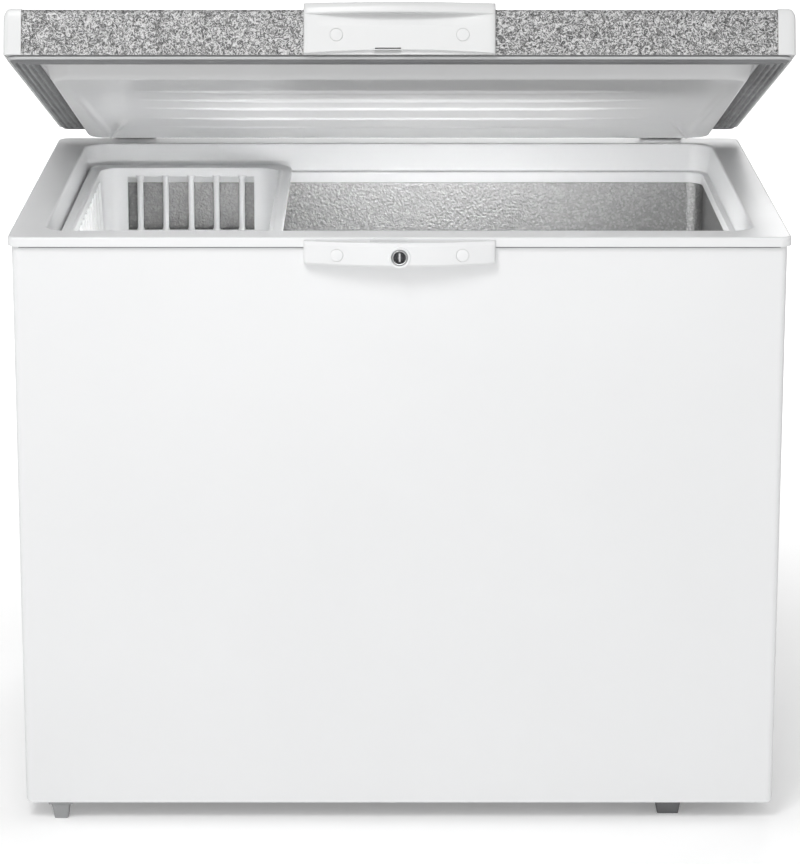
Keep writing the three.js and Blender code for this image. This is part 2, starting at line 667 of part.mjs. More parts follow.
// The liner's formed dish, seen from inside the lid, thickened upward by grow.
function plateauSections(grow) {
  const { x, front, rear, low, radius, draft } = PLATEAU;
  const at = (d, z, r) => ({
    x0: -x - d, x1: x + d, y0: front - d * (d > 0 ? 4 : 1), y1: rear + d * (d > 0 ? 3 : 1), r, z: z + grow,
  });
  return [
    at(draft - grow / 2, LID.bottom, radius - 6), at(1 - grow / 2, low + 5, radius),
    at(-2.5 - grow, low + 1.4, radius), at(-8 - grow, low, radius),
  ];
}

function lidLiner() {
  const sheet = 1.5;
  const rim = (z) => ({
    x0: -LID_HALF + 3.2, x1: LID_HALF - 3.2, y0: LID.front + 1.9, y1: LID.rear - 1.9, r: 3, z,
  });
  const under = plateauSections(0);
  const over = plateauSections(sheet).reverse();
  return loft([...over, rim(LID.bottom + sheet), rim(LID.bottom), ...under]);
}

function lidGasket() {
  const { width, outer, front, rear, low } = GASKET;
  const top = LID.bottom - CLEARANCE;
  const at = (d, z) => ({
    x0: -outer + d, x1: outer - d, y0: front + d, y1: rear - d, r: 14 + d / 3, z,
  });
  return loft([
    at(0, top), at(0, low + 3), at(3, low), at(10, low), at(12, low + 2), at(14, low),
    at(21, low), at(23, low + 2), at(25, low), at(width - 3, low), at(width, low + 3), at(width, top),
  ], { ring: true });
}

function lidHandle() {
  const { half, low, high, plate, lip, bow, plug } = HANDLE;
  const face = new THREE.Shape();
  face.moveTo(-half + 6, low);
  face.quadraticCurveTo(0, low + 9, half - 6, low);
  face.quadraticCurveTo(half, low, half, low + 6);
  face.lineTo(half, lip + 2);
  face.lineTo(-half, lip + 2);
  face.lineTo(-half, low + 6);
  face.quadraticCurveTo(-half, low, -half + 6, low);
  const lower = alongY(face, -plate, -CLEARANCE, 6);
  const flange = box(-half + 3, half - 3, -3.2, -CLEARANCE, low, low + 12);
  const grip = alongZ(bowedPlan(half, -CLEARANCE, plate, bow, 5), lip, LID.top + 0.6, 6);
  const cap = alongZ(bowedPlan(half, 16, plate - 2, bow - 2, 5), LID.top + 0.6, high, 6);
  const fingers = common(
    alongZ(bowedPlan(half - 3, 0, plate - 3, bow - 3, 4), lip - 1, lip + 7, 4),
    box(-half + 8, half - 8, -bow, -plate, lip - 2, lip + 8),
  );
  const latchSlot = box(-37, 9, -plate - 1, -4, low - 2, low + 13);
  const wells = [-1, 1].map((side) => disc(PLUG_R + 0.3, -plate - 2, -plate + 3, 'y', 20)
    .translate(side * plug, 0, low + 24));
  return cut(join(lower, flange, grip, cap), fingers, latchSlot, ...wells);
}

const handlePlug = (side) => disc(PLUG_R, -HANDLE.plate - 0.4, -HANDLE.plate + 2.6, 'y', 20)
  .translate(side * HANDLE.plug, 0, HANDLE.low + 24);

// ---- hinges ----

function ear(outline, x0, x1) {
  const shape = new THREE.Shape(outline.map(([y, z]) => new THREE.Vector2(y, z)));
  const boss = new THREE.Shape().absarc(HINGE.y, HINGE.z, 11, 0, 2 * Math.PI);
  const bore = new THREE.Shape().absarc(HINGE.y, HINGE.z, HINGE.pin + CLEARANCE, 0, 2 * Math.PI);
  return cut(join(alongX(shape, x0, x1), alongX(boss, x0, x1, 9)), alongX(bore, x0 - 1, x1 + 1, 7));
}

// A channel bolted to the back of the cabinet, with an ear at each side for the pin. Its
// web steps back round the trim and stands up between the rim and the lid.
function hingeBase(x) {
  const [low, high, back] = [655, 766, SHELL_REAR + CLEARANCE];
  const upper = DEPTH + CLEARANCE;
  const web = 2.5;
  const left = x - HINGE.width / 2;
  const right = x + HINGE.width / 2;
  const sides = [[back, low], [back, high], [DEPTH + 2, high + 6], [712, HINGE.z],
    [734, HINGE.z], [727, high - 12], [712, low + 16], [700, low]];
  return cut(
    join(
      ear(sides, left, left + web), ear(sides, right - web, right),
      box(left, right, back, back + web, low, high),
      box(left, right, back, upper + web, high - web, high),
      box(left, right, upper, upper + web, high - web, LID.bottom - 2),
    ),
    ...[-14, 14].map((dx) => disc(3.4, back - 3, back + 8, 'y', 12).translate(x + dx, 0, low + 22)),
  );
}

// The arm on the lid's rear edge, turning inside the channel.
function hingeLeaf(x) {
  const gap = 3.2;
  const left = x - HINGE.width / 2 + gap;
  const right = x + HINGE.width / 2 - gap;
  const face = LID.rear + CLEARANCE;
  const arm = [[face, 800], [face, 846], [face + 6, 846], [728, 830], [728, 815], [face + 6, 800]];
  return join(ear(arm, left, left + 2.5), ear(arm, right - 2.5, right),
    box(left, right, face, face + 2.5, 800, 846));
}

const hingePin = (x) => disc(HINGE.pin, x - HINGE.width / 2 - 1.5, x + HINGE.width / 2 + 1.5, 'x', 16)
  .translate(0, HINGE.y, HINGE.z);

function hingeSpring(x) {
  const [turns, steps, wire] = [5, 8, 1.8];
  const points = [];
  for (let i = 0; i <= turns * steps; i += 1) {
    const turn = (2 * Math.PI * i) / steps;
    const along = x - 17 + (34 * i) / (turns * steps);
    points.push(new THREE.Vector3(along, HINGE.y + 7.6 * Math.cos(turn), HINGE.z + 7.6 * Math.sin(turn)));
  }
  return pipe(points, wire, 5);
}

const hingeScrew = (x) => turned([[0, 0], [3, 0], [3, 3.2], [6, 3.2], [6, 5], [3, 7], [0, 7]], 12)
  .rotateX(-Math.PI / 2).translate(x, SHELL_REAR + CLEARANCE, 677);

// ---- basket ----

function basketTub(inset, top, floor) {
  const { left, right, front, rear } = BASKET;
  const draft = 10;
  const at = (d, z, r) => ({ x0: left + d, x1: right - d, y0: front + d, y1: rear - d - 8, r, z });
  return loft([at(inset + draft, floor, 24), at(inset, top, 30)]);
}

function basketWindows() {
  const { left, right, front, rear, top, depth } = BASKET;
  const tiers = [[top - 13 - 78, top - 13], [top - depth + 22, top - 13 - 90]];
  const windows = [];
  const spread = (from, to, cutter) => {
    const bars = Math.round((to - from) / BAR_PITCH);
    const first = (from + to - (bars - 1) * BAR_PITCH) / 2;
    for (let i = 0; i <= bars; i += 1) {
      const near = i === 0 ? from : first + (i - 1) * BAR_PITCH + BAR / 2;
      const far = i === bars ? to : first + i * BAR_PITCH - BAR / 2;
      cutter(near, far);
    }
  };
  tiers.forEach(([low, high]) => {
    spread(left + 54, right - 54, (a, b) => windows.push(box(a, b, front - 5, rear + 5, low, high)));
    spread(front + 52, rear - 60, (a, b) => windows.push(box(left - 5, right + 5, a, b, low, high)));
  });
  return windows;
}

function basket() {
  const { left, right, front, rear, top, depth } = BASKET;
  const [side, wall, floor] = [17, 3, top - depth];
  const rimTop = { x0: left, x1: right, y0: front, y1: rear, r: 26 };
  const rim = loft([{ ...rimTop, z: LEDGE_Z + 0.4 }, { ...rimTop, z: top }]);
  const underRim = loft([
    { x0: left + 3, x1: right - 3, y0: front + 3, y1: rear - 3, r: 23, z: LEDGE_Z - 3 },
    { x0: left + 3, x1: right - 3, y0: front + 3, y1: rear - 3, r: 23, z: top - 3 },
  ]);
  const body = basketTub(side - wall, top, floor);
  const hollow = basketTub(side, top + 1, floor + wall);
  return cut(join(cut(rim, underRim), body), hollow, ...basketWindows());
}

// ---- assembly ----
const freezer = new THREE.Group();
const cabinet = new THREE.Group();
const lid = new THREE.Group();
freezer.add(cabinet, lid);

const M = MATERIAL;
addPart(cabinet, 'outer_shell', outerShell(), M.whitePaint);
addPart(cabinet, 'back_panel', backPanel(), M.galvanised);
addPart(cabinet, 'base_panel', basePanel(), M.galvanised);
addPart(cabinet, 'insulation_foam', insulationFoam(), M.foam);
addPart(cabinet, 'inner_liner', innerLiner(), M.stucco);
addPart(cabinet, 'top_trim', topTrim(), M.whitePlastic);
addPart(cabinet, 'bay_wrap', bayWrap(), M.galvanised);
addPart(cabinet, 'rear_cover', rearCover(), M.galvanised);
addPart(cabinet, 'side_grille', sideGrille(), M.whitePlastic);
addPart(cabinet, 'thermostat_housing', thermostatHousing(), M.blackPlastic);
addPart(cabinet, 'thermostat_knob', thermostatKnob(), M.whitePlastic);
addPart(cabinet, 'indicator_lamp', indicatorLamp(), M.greenLens);
addPart(cabinet, 'power_inlet_gland', inletGland(), M.blackPlastic);
addPart(cabinet, 'compressor_plate', compressorPlate(), M.galvanised);
addPart(cabinet, 'compressor', compressorBody(), M.blackPaint);
addPart(cabinet, 'relay_cover', relayCover(), M.blackPlastic);
addPart(cabinet, 'filter_drier', filterDrier(), M.copper);
[[-1, -1], [1, -1], [-1, 1], [1, 1]].forEach(([sx, sy], i) => {
  const place = grommet().translate(COMPRESSOR.x + sx * 74, COMPRESSOR.y + sy * 42, 0);
  addPart(cabinet, `compressor_grommet_${i + 1}`, place, M.rubber);
});
Object.entries(COPPER_RUNS).forEach(([name, corners]) => {
  addPart(cabinet, name, pipe(bent(corners, 18, 4), 3), M.copper);
});
addPart(cabinet, 'evaporator_coil', evaporatorCoil(), M.copper);
addPart(cabinet, 'condenser_coil', condenserCoil(), M.copper);
addPart(cabinet, 'drain_tube', drainTube(), M.whitePlastic);
addPart(cabinet, 'drain_cap', drainCap(), M.greyPlastic);
addPart(cabinet, 'drain_plug', drainPlug(), M.whitePlastic);
FEET.forEach(([name, make, x, y, material]) => {
  addPart(cabinet, name, make().translate(x, y, 0), material);
});
addPart(cabinet, 'lock_housing', lockHousing(), M.whitePlastic);
plugs(765, HOUSING.half, HOUSING.ends, HOUSING.bow).forEach((plug, i) => {
  addPart(cabinet, ['housing_plug_left', 'housing_plug_right'][i], plug, M.whitePlastic);
});
addPart(cabinet, 'lock_cylinder', lockCylinder(), M.lockSteel);
addPart(cabinet, 'lock_hook', lockHook(), M.galvanised);
addPart(cabinet, 'basket', basket(), M.basketPlastic);

addPart(lid, 'lid_top_panel', lidTopPanel(), M.speckledSheet);
addPart(lid, 'lid_foam', lidFoam(), M.foam);
addPart(lid, 'lid_liner', lidLiner(), M.linerSheet);
addPart(lid, 'lid_gasket', lidGasket(), M.gasket);
addPart(lid, 'lid_handle', lidHandle(), M.whitePlastic);

[['left', -1], ['right', 1]].forEach(([name, side]) => {
  const x = side * HINGE.x;
  addPart(lid, `lid_side_trim_${name}`, lidSideTrim(side), M.whitePlastic);
  addPart(lid, `handle_plug_${name}`, handlePlug(side), M.whitePlastic);
  addPart(lid, `hinge_leaf_${name}`, hingeLeaf(x), M.hingeSteel);
  addPart(cabinet, `hinge_base_${name}`, hingeBase(x), M.hingeSteel);
  addPart(cabinet, `hinge_pin_${name}`, hingePin(x), M.springSteel);
  addPart(cabinet, `hinge_spring_${name}`, hingeSpring(x), M.springSteel);
  addPart(cabinet, `hinge_screw_${name}_outer`, hingeScrew(x + side * 14), M.springSteel);
  addPart(cabinet, `hinge_screw_${name}_inner`, hingeScrew(x - side * 14), M.springSteel);
});

// Turn the lid open about the pins.
lid.children.forEach((piece) => piece.geometry.translate(0, -HINGE.y, -HINGE.z));
lid.position.set(0, HINGE.y, HINGE.z);
lid.rotation.x = THREE.MathUtils.degToRad(-LID_OPEN);

freezer.position.y = -CENTRE_Y;
freezer.updateMatrixWorld(true);

export default freezer;
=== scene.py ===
"""Chest freezer with its lid part open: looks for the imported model.

Lengths are worked out in millimetres, with x across, y counted back from the front edge
of the top trim and z up from the floor. The lid's pieces are made closed, then turned
open about the hinge pins. Everything is placed in the scene in metres.
"""

import json
import math

import bmesh
import bpy
from mathutils import Matrix, Vector


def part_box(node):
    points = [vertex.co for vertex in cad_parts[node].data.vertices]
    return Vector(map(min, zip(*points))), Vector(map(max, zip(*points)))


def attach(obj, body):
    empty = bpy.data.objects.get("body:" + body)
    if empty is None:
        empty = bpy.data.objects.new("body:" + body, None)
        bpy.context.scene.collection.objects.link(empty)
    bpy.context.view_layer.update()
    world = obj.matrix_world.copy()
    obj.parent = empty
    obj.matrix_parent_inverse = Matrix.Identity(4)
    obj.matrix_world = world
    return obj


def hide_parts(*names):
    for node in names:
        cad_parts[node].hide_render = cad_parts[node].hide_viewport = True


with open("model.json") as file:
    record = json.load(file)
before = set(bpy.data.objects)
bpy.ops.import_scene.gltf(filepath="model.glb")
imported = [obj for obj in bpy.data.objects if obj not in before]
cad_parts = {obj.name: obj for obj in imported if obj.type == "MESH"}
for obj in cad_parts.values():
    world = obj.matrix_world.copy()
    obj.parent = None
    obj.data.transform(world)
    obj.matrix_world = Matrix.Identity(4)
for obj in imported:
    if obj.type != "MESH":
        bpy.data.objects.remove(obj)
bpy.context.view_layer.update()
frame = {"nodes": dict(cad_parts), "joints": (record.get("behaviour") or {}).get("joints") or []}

# ---- the frame, in millimetres ----
MM = 0.001
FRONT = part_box("top_trim")[0][1] / MM
HINGE_JOINT = next(j for j in frame["joints"] if j["name"] == "lid_hinge")
HINGE = Vector((0, HINGE_JOINT["pos_m"][1] / MM - FRONT, HINGE_JOINT["pos_m"][2] / MM))
LID_OPEN = -HINGE_JOINT["range_deg"][0]
TURN_LID = (Matrix.Translation(HINGE) @ Matrix.Rotation(math.radians(-LID_OPEN), 4, "X")
            @ Matrix.Translation(-HINGE))


def in_mm(node, closed=False):
    """A node's low and high corners, with the lid's turn taken out if closed."""
    undo = TURN_LID.inverted() if closed else Matrix()
    points = [undo @ Vector((v.co.x / MM, v.co.y / MM - FRONT, v.co.z / MM))
              for v in frame["nodes"][node].data.vertices]
    return [Vector(pick(p[i] for p in points) for i in range(3)) for pick in (min, max)]


TRIM = in_mm("top_trim")
HALF = TRIM[1].x                     # half the trim's width
DEPTH = TRIM[1].y                    # the trim, front to back
RIM_TOP = TRIM[1].z
BASKET = in_mm("basket")
LINER = in_mm("lid_liner", closed=True)
LID = in_mm("lid_top_panel", closed=True)
GASKET = in_mm("lid_gasket", closed=True)
HANDLE = in_mm("lid_handle", closed=True)
HOUSING = in_mm("lock_housing")
BACK = in_mm("back_panel")
BAY = in_mm("rear_cover")
LOCK = in_mm("lock_cylinder")
LOCK_Z = (LOCK[0].z + LOCK[1].z) / 2

LEDGE_Z = BASKET[0].z + 194          # the basket hangs on this step
LEDGE_INSET = 57                     # trim edge to the inside of the tub
BAND_BOTTOM = TRIM[0].z
SKIRT = 12.6                         # outer lip of the trim, top to bottom
LAND = {"side": 44, "front": 42, "rear": 45}     # width of the trim's flat top
HOOK_SLOT = (-33, 10)                # left and right end of the hook's slot in the rim
LATCH_SLIT = (-31, 2)                # the same for the slit in the lid's handle
PLUG_X = 79                          # round plugs of the handle and the lock housing
PLUG_RADIUS = 8
WELL_RADIUS = 8.3                    # the hole that a plug sits in
SMOOTH = math.radians(32)            # edges flatter than this are shaded smooth


# ---- shapes ----
def placed(point, lid=False):
    """A point in millimetres as scene metres, turned open with the lid."""
    p = Vector(point)
    if lid:
        p = TURN_LID @ p
    return Vector((p.x, p.y + FRONT, p.z)) * MM


def fillet(points, radius, steps=4):
    """A closed outline with its corners rounded by one radius, or by one for each."""
    rounded = []
    count = len(points)
    for i, corner in enumerate(points):
        r = radius[i] if isinstance(radius, (list, tuple)) else radius
        at = Vector(corner)
        back = Vector(points[i - 1]) - at
        ahead = Vector(points[(i + 1) % count]) - at
        if r <= 0:
            rounded.append(tuple(at))
            continue
        half = back.angle(ahead) / 2
        reach = min(r / math.tan(half), 0.48 * back.length, 0.48 * ahead.length)
        start = at + back.normalized() * reach
        end = at + ahead.normalized() * reach
        for k in range(steps + 1):
            t = k / steps
            rounded.append(tuple((1 - t) ** 2 * start + 2 * t * (1 - t) * at + t * t * end))
    return rounded


def circle(sides):
    """Evenly spaced angles, once round."""
    return [2 * math.pi * i / sides for i in range(sides)]


def round_rect(x0, x1, y0, y1, radius, arc=10):
    """Points of a rounded rectangle, anticlockwise from the front left corner."""
    points = []
    centres = [(x0 + radius, y0 + radius), (x1 - radius, y0 + radius),
               (x1 - radius, y1 - radius), (x0 + radius, y1 - radius)]
    for i, (cx, cy) in enumerate(centres):
        for k in range(arc + 1):
            a = math.pi + (i + k / arc) * math.pi / 2
            points.append((cx + radius * math.cos(a), cy + radius * math.sin(a)))
    return points


def mesh_piece(name, points, faces, lid=False):
    """A linked object from points in millimetres, welded and with its normals outward."""
    mesh = bpy.data.meshes.new(name)
    mesh.from_pydata([placed(p, lid) for p in points], [], faces)
    mesh.validate()
    shape = bmesh.new()
    shape.from_mesh(mesh)
    bmesh.ops.remove_doubles(shape, verts=shape.verts, dist=1e-7)
    bmesh.ops.recalc_face_normals(shape, faces=shape.faces)
    shape.to_mesh(mesh)
    shape.free()
    piece = bpy.data.objects.new(name, mesh)
    bpy.context.scene.collection.objects.link(piece)
    return piece


def loft(name, rings, closed=False, caps=True, lid=False):
    """A skin over rings of points; closed joins the last ring to the first."""
    count = len(rings[0])
    points = [p for ring in rings for p in ring]
    faces = []
    for i in range(len(rings) if closed else len(rings) - 1):
        low, high = i * count, ((i + 1) % len(rings)) * count
        for j in range(count):
            k = (j + 1) % count
            faces.append((low + j, low + k, high + k, high + j))
    if caps and not closed:
        faces.append(tuple(reversed(range(count))))
        faces.append(tuple(range(len(points) - count, len(points))))
    return mesh_piece(name, points, faces, lid)


def prism(name, outline, axis, low, high, lid=False):
    """An outline pushed along an axis; its points are in the other two, in order."""
    order = {"x": lambda a, b, c: (c, a, b), "y": lambda a, b, c: (a, c, b),
             "z": lambda a, b, c: (a, b, c)}[axis]
    return loft(name, [[order(a, b, c) for a, b in outline] for c in (low, high)], lid=lid)


def turned(name, profile, centre, axis="z", sides=40, lid=False):
    """A piece turned from [radius, height] pairs about a line through centre."""
    spin = {"z": lambda c, s, h: (c, s, h), "y": lambda c, s, h: (c, h, s),
            "x": lambda c, s, h: (h, c, s)}[axis]
    rings = []
    for radius, height in profile:
        rings.append([tuple(Vector(centre) + Vector(spin(
            radius * math.cos(a), radius * math.sin(a), height))) for a in circle(sides)])
    return loft(name, rings, lid=lid)


def join(name, pieces):
    """Several closed shells as one object."""
    shape = bmesh.new()
    for piece in pieces:
        shape.from_mesh(piece.data)
        bpy.data.objects.remove(piece)
    mesh = bpy.data.meshes.new(name)
    shape.to_mesh(mesh)
    shape.free()
    piece = bpy.data.objects.new(name, mesh)
    bpy.context.scene.collection.objects.link(piece)
    return piece


def cut(piece, *tools):
    """Takes each tool's shape out of a piece."""
    for tool in tools:
        carve = piece.modifiers.new("cut", "BOOLEAN")
        carve.operation = "DIFFERENCE"
        carve.solver = "EXACT"
        carve.object = tool
    seen = piece.evaluated_get(bpy.context.evaluated_depsgraph_get())
    mesh = bpy.data.meshes.new_from_object(seen)
    piece.modifiers.clear()
    piece.data = mesh
    for tool in tools:
        bpy.data.objects.remove(tool)
    return piece


def block(x0, x1, y0, y1, z0, z1, lid=False):
    return prism("tool", [(x0, y0), (x1, y0), (x1, y1), (x0, y1)], "z", z0, z1, lid)


def well(x, z, front, back, lid=False):
    """The tool that cuts a plug's round hole into a front face."""
    outline = [(x + WELL_RADIUS * math.cos(a), z + WELL_RADIUS * math.sin(a))
               for a in circle(28)]
    return prism("tool", outline, "y", front, back, lid)


def screw_plug(name, x, z, back, edge, middle, lid=False):
    """A round plug over a screw: its face is slightly domed and its rim is rounded."""
    profile = fillet([(0, back), (PLUG_RADIUS, back), (PLUG_RADIUS, edge), (0, middle)],
                     [0, 0, 0.9, 0], 3)
    return turned(name, profile, (x, 0, z), "y", 36, lid)


# ---- finishing ----
def weighted(piece):
    """Face-weighted normals, which keep flat faces flat beside rounded edges."""
    normals = piece.modifiers.new("normals", "WEIGHTED_NORMAL")
    normals.keep_sharp = True
    normals.weight = 80


def rounded_edges(piece, width):
    """A bevel of the given width, in millimetres, on every sharp edge."""
    edges = piece.modifiers.new("edges", "BEVEL")
    edges.limit_method = "ANGLE"
    edges.angle_limit = math.radians(38)
    edges.width = width * MM
    edges.segments = 2
    edges.use_clamp_overlap = True
    edges.miter_outer = "MITER_ARC"


def smooth_by_angle():
    """A node tree that shades smooth except over edges sharper than SMOOTH."""
    tree = bpy.data.node_groups.new("smooth_by_angle", "GeometryNodeTree")
    tree.interface.new_socket("Geometry", in_out="INPUT", socket_type="NodeSocketGeometry")
    tree.interface.new_socket("Geometry", in_out="OUTPUT", socket_type="NodeSocketGeometry")
    start = tree.nodes.new("NodeGroupInput")
    end = tree.nodes.new("NodeGroupOutput")
    angle = tree.nodes.new("GeometryNodeInputMeshEdgeAngle")
    flat = tree.nodes.new("FunctionNodeCompare")
    flat.operation = "LESS_THAN"
    flat.inputs["B"].default_value = SMOOTH
    edges = tree.nodes.new("GeometryNodeSetShadeSmooth")
    edges.domain = "EDGE"
    faces = tree.nodes.new("GeometryNodeSetShadeSmooth")
    faces.domain = "FACE"
    tree.links.new(angle.outputs["Unsigned Angle"], flat.inputs["A"])
    tree.links.new(flat.outputs["Result"], edges.inputs["Shade Smooth"])
    tree.links.new(start.outputs[0], faces.inputs["Geometry"])
    tree.links.new(faces.outputs[0], edges.inputs["Geometry"])
    tree.links.new(edges.outputs[0], end.inputs[0])
    return tree


SMOOTH_TREE = smooth_by_angle()


def dress(node, material, width=0.5):
    """Keeps a CAD node's shape, softens its edges and gives it a material."""
    piece = frame["nodes"][node]
    weld = piece.modifiers.new("weld", "WELD")
    weld.merge_threshold = 2e-6
    if width:
        rounded_edges(piece, width)
    shade = piece.modifiers.new("shade", "NODES")
    shade.node_group = SMOOTH_TREE
    weighted(piece)
    for slot in piece.material_slots:
        slot.material = material


def finish(piece, material, body, nodes, width=0.5):
    """Edges, shading, material and body of a new piece that stands for CAD nodes."""
    if width:
        rounded_edges(piece, width)
    piece.data.shade_smooth()
    piece.data.set_sharp_from_angle(angle=SMOOTH)
    weighted(piece)
    piece.data.materials.clear()
    piece.data.materials.append(material)
    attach(piece, body)
    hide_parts(*nodes)
    return piece


# ---- materials ----
class Finish:
    """A principled material, with its detail worked out from the object's coordinates."""

    def __init__(self, name, roughness=0.4, metallic=0.0, **sockets):
        self.material = bpy.data.materials.new(name)
        self.material.use_nodes = True
        self.tree = self.material.node_tree
        self.shader = self.tree.nodes["Principled BSDF"]
        self.shader.inputs["Roughness"].default_value = roughness
        self.shader.inputs["Metallic"].default_value = metallic
        for socket, value in sockets.items():
            self.shader.inputs[socket.replace("_", " ")].default_value = value
        self.place = self.tree.nodes.new("ShaderNodeTexCoord").outputs["Object"]
        self.bumped = None

    def node(self, kind, **values):
        made = self.tree.nodes.new(kind)
        for key, value in values.items():
            made.inputs[key.replace("_", " ")].default_value = value
        return made

    def noise(self, scale, detail=3.0, rough=0.5, distortion=0.0, stretch=None):
        made = self.node("ShaderNodeTexNoise", Scale=scale, Detail=detail,
                         Roughness=rough, Distortion=distortion)
        place = self.place
        if stretch:
            mapping = self.node("ShaderNodeMapping", Scale=stretch)
            self.tree.links.new(place, mapping.inputs["Vector"])
            place = mapping.outputs["Vector"]
        self.tree.links.new(place, made.inputs["Vector"])
        return made.outputs["Fac"]

    def cells(self, scale, feature="F1", output="Distance"):
        made = self.node("ShaderNodeTexVoronoi", Scale=scale)
        made.feature = feature
        self.tree.links.new(self.place, made.inputs["Vector"])
        return made.outputs[output]

    def ramp(self, source, stops):
        """Colours by value; stops are (place, grey) or (place, (r, g, b))."""
        made = self.tree.nodes.new("ShaderNodeValToRGB")
        while len(made.color_ramp.elements) < len(stops):
            made.color_ramp.elements.new(0.5)
        for element, (place, colour) in zip(made.color_ramp.elements, stops):
            element.position = place
            rgb = colour if isinstance(colour, tuple) else (colour,) * 3
            element.color = (*rgb, 1)
        self.tree.links.new(source, made.inputs["Fac"])
        return made.outputs["Color"]

    def mix(self, a, b, factor):
        made = self.tree.nodes.new("ShaderNodeMix")
        made.data_type = "RGBA"
        for socket, value in (("Factor_Float", factor), ("A_Color", a), ("B_Color", b)):
            target = next(s for s in made.inputs if s.identifier == socket)
            if hasattr(value, "links"):
                self.tree.links.new(value, target)
            else:
                target.default_value = value
        return next(s for s in made.outputs if s.identifier == "Result_Color")

    def colour(self, source):
        self.tree.links.new(source, self.shader.inputs["Base Color"])

    def vary(self, base, amount, scale, low=0.35, high=0.65):
        """The base colour, a little darker and lighter in soft clouds."""
        dark = tuple(c * (1 - amount) for c in base)
        light = tuple(min(1.0, c * (1 + amount)) for c in base)
        return self.ramp(self.noise(scale, 4.0), [(low, dark), (high, light)])

    def rough(self, source, low, high, start=0.3, end=0.7):
        """Roughness from low to high as the source runs from start to end."""
        made = self.node("ShaderNodeMapRange", From_Min=start, From_Max=end,
                         To_Min=low, To_Max=high)
        self.tree.links.new(source, made.inputs["Value"])
        self.tree.links.new(made.outputs["Result"], self.shader.inputs["Roughness"])

    def bump(self, source, depth):
        """Relief of the given depth in millimetres, over what was there before."""
        made = self.node("ShaderNodeBump", Strength=1.0, Distance=depth * MM)
        self.tree.links.new(source, made.inputs["Height"])
        if self.bumped:
            self.tree.links.new(self.bumped, made.inputs["Normal"])
        self.bumped = made.outputs["Normal"]
        self.tree.links.new(self.bumped, self.shader.inputs["Normal"])


def moulded(name, base, roughness=0.4, grain=0.012, **sockets):
    """Moulded plastic: fine grain, faint flow clouds and slightly uneven gloss."""
    made = Finish(name, roughness, **sockets)
    made.colour(made.vary(base, 0.012, 5.0))
    made.rough(made.noise(60.0, 3.0), roughness * 0.95, roughness * 1.08)
    made.bump(made.noise(1500.0, 2.0), grain)
    made.bump(made.noise(40.0, 2.0), grain * 1.5)
    return made.material


def painted(name, base, roughness=0.3, peel=0.02, metallic=0.0):
    """Stoved paint: orange peel a few millimetres across under a clear gloss."""
    made = Finish(name, roughness, metallic, Coat_Weight=0.25, Coat_Roughness=0.12)
    made.colour(made.vary(base, 0.008, 3.0))
    made.rough(made.noise(60.0, 3.0), roughness * 0.95, roughness * 1.08)
    made.bump(made.noise(330.0, 2.0), peel)
    return made.material


def speckled():
    """Film-coated sheet printed like grey granite, in flecks two to five millimetres long."""
    made = Finish("speckled_film", 0.42, Coat_Weight=0.15, Coat_Roughness=0.3)
    blotches = made.noise(185.0, 3.0, 0.66, 2.2)
    flecks = made.noise(400.0, 2.0, 0.6, 1.5)
    ground = made.ramp(blotches, [(0.44, 0.02), (0.485, 0.075), (0.52, 0.40), (0.57, 0.70)])
    fine = made.ramp(flecks, [(0.42, 0.02), (0.50, 0.27), (0.58, 0.68)])
    made.colour(made.mix(ground, fine, 0.3))
    made.rough(flecks, 0.36, 0.5)
    made.bump(made.noise(900.0, 2.0), 0.012)
    return made.material


def stucco():
    """Aluminium sheet embossed all over with small pebbles, which sparkle as they turn."""
    made = Finish("stucco_aluminium", 0.36, 0.85)
    facets = made.cells(330.0, "F1", "Color")
    made.colour(made.ramp(facets, [(0.2, 0.235), (0.6, 0.28), (0.85, 0.345)]))
    made.rough(facets, 0.30, 0.44, 0.0, 1.0)
    made.bump(made.noise(380.0, 2.0, 0.55, 1.2), 0.35)
    made.bump(made.cells(360.0, "SMOOTH_F1"), 0.4)
    return made.material


def galvanised():
    """Zinc-coated steel: flat spangles of slightly different grey, with fine rolling lines."""
    made = Finish("galvanised_steel", 0.42, 1.0)
    spangle = made.cells(95.0, "F1", "Color")
    tone = made.ramp(spangle, [(0.1, 0.46), (0.9, 0.66)])
    made.colour(made.mix(tone, made.vary((0.58, 0.585, 0.59), 0.06, 7.0), 0.45))
    made.rough(spangle, 0.36, 0.5, 0.0, 1.0)
    made.bump(made.noise(60.0, 3.0, stretch=(1, 1, 20)), 0.02)
    return made.material


def worked_steel(name, base, roughness, scale=200.0):
    """Plated or blackened steel, with fine marks and rubbed, slightly brighter places."""
    made = Finish(name, roughness, 1.0)
    made.colour(made.vary(base, 0.22, 55.0, 0.35, 0.7))
    made.rough(made.noise(scale, 4.0), roughness * 0.75, roughness * 1.3)
    made.bump(made.noise(scale * 4, 3.0), 0.02)
    return made.material


def copper():
    """Drawn copper pipe with brown heat stains."""
    made = Finish("drawn_copper", 0.3, 1.0)
    stains = made.noise(24.0, 5.0)
    made.colour(made.ramp(stains, [(0.3, (0.42, 0.17, 0.09)), (0.62, (0.80, 0.42, 0.26))]))
    made.rough(stains, 0.45, 0.24)
    made.bump(made.noise(700.0, 2.0), 0.01)
    return made.material


def foam():
    """Rigid foam: pale yellow, full of tiny open bubbles."""
    made = Finish("rigid_foam", 0.9)
    made.colour(made.vary((0.80, 0.68, 0.42), 0.1, 12.0))
    made.bump(made.cells(700.0), 0.4)
    return made.material


def gasket_vinyl():
    """Soft grey vinyl with faint lengthwise drawing marks and a dusty bloom."""
    made = Finish("gasket_vinyl", 0.5)
    made.colour(made.vary((0.205, 0.208, 0.212), 0.1, 14.0))
    made.rough(made.noise(60.0, 4.0), 0.42, 0.6)
    made.bump(made.noise(420.0, 3.0), 0.05)
    return made.material


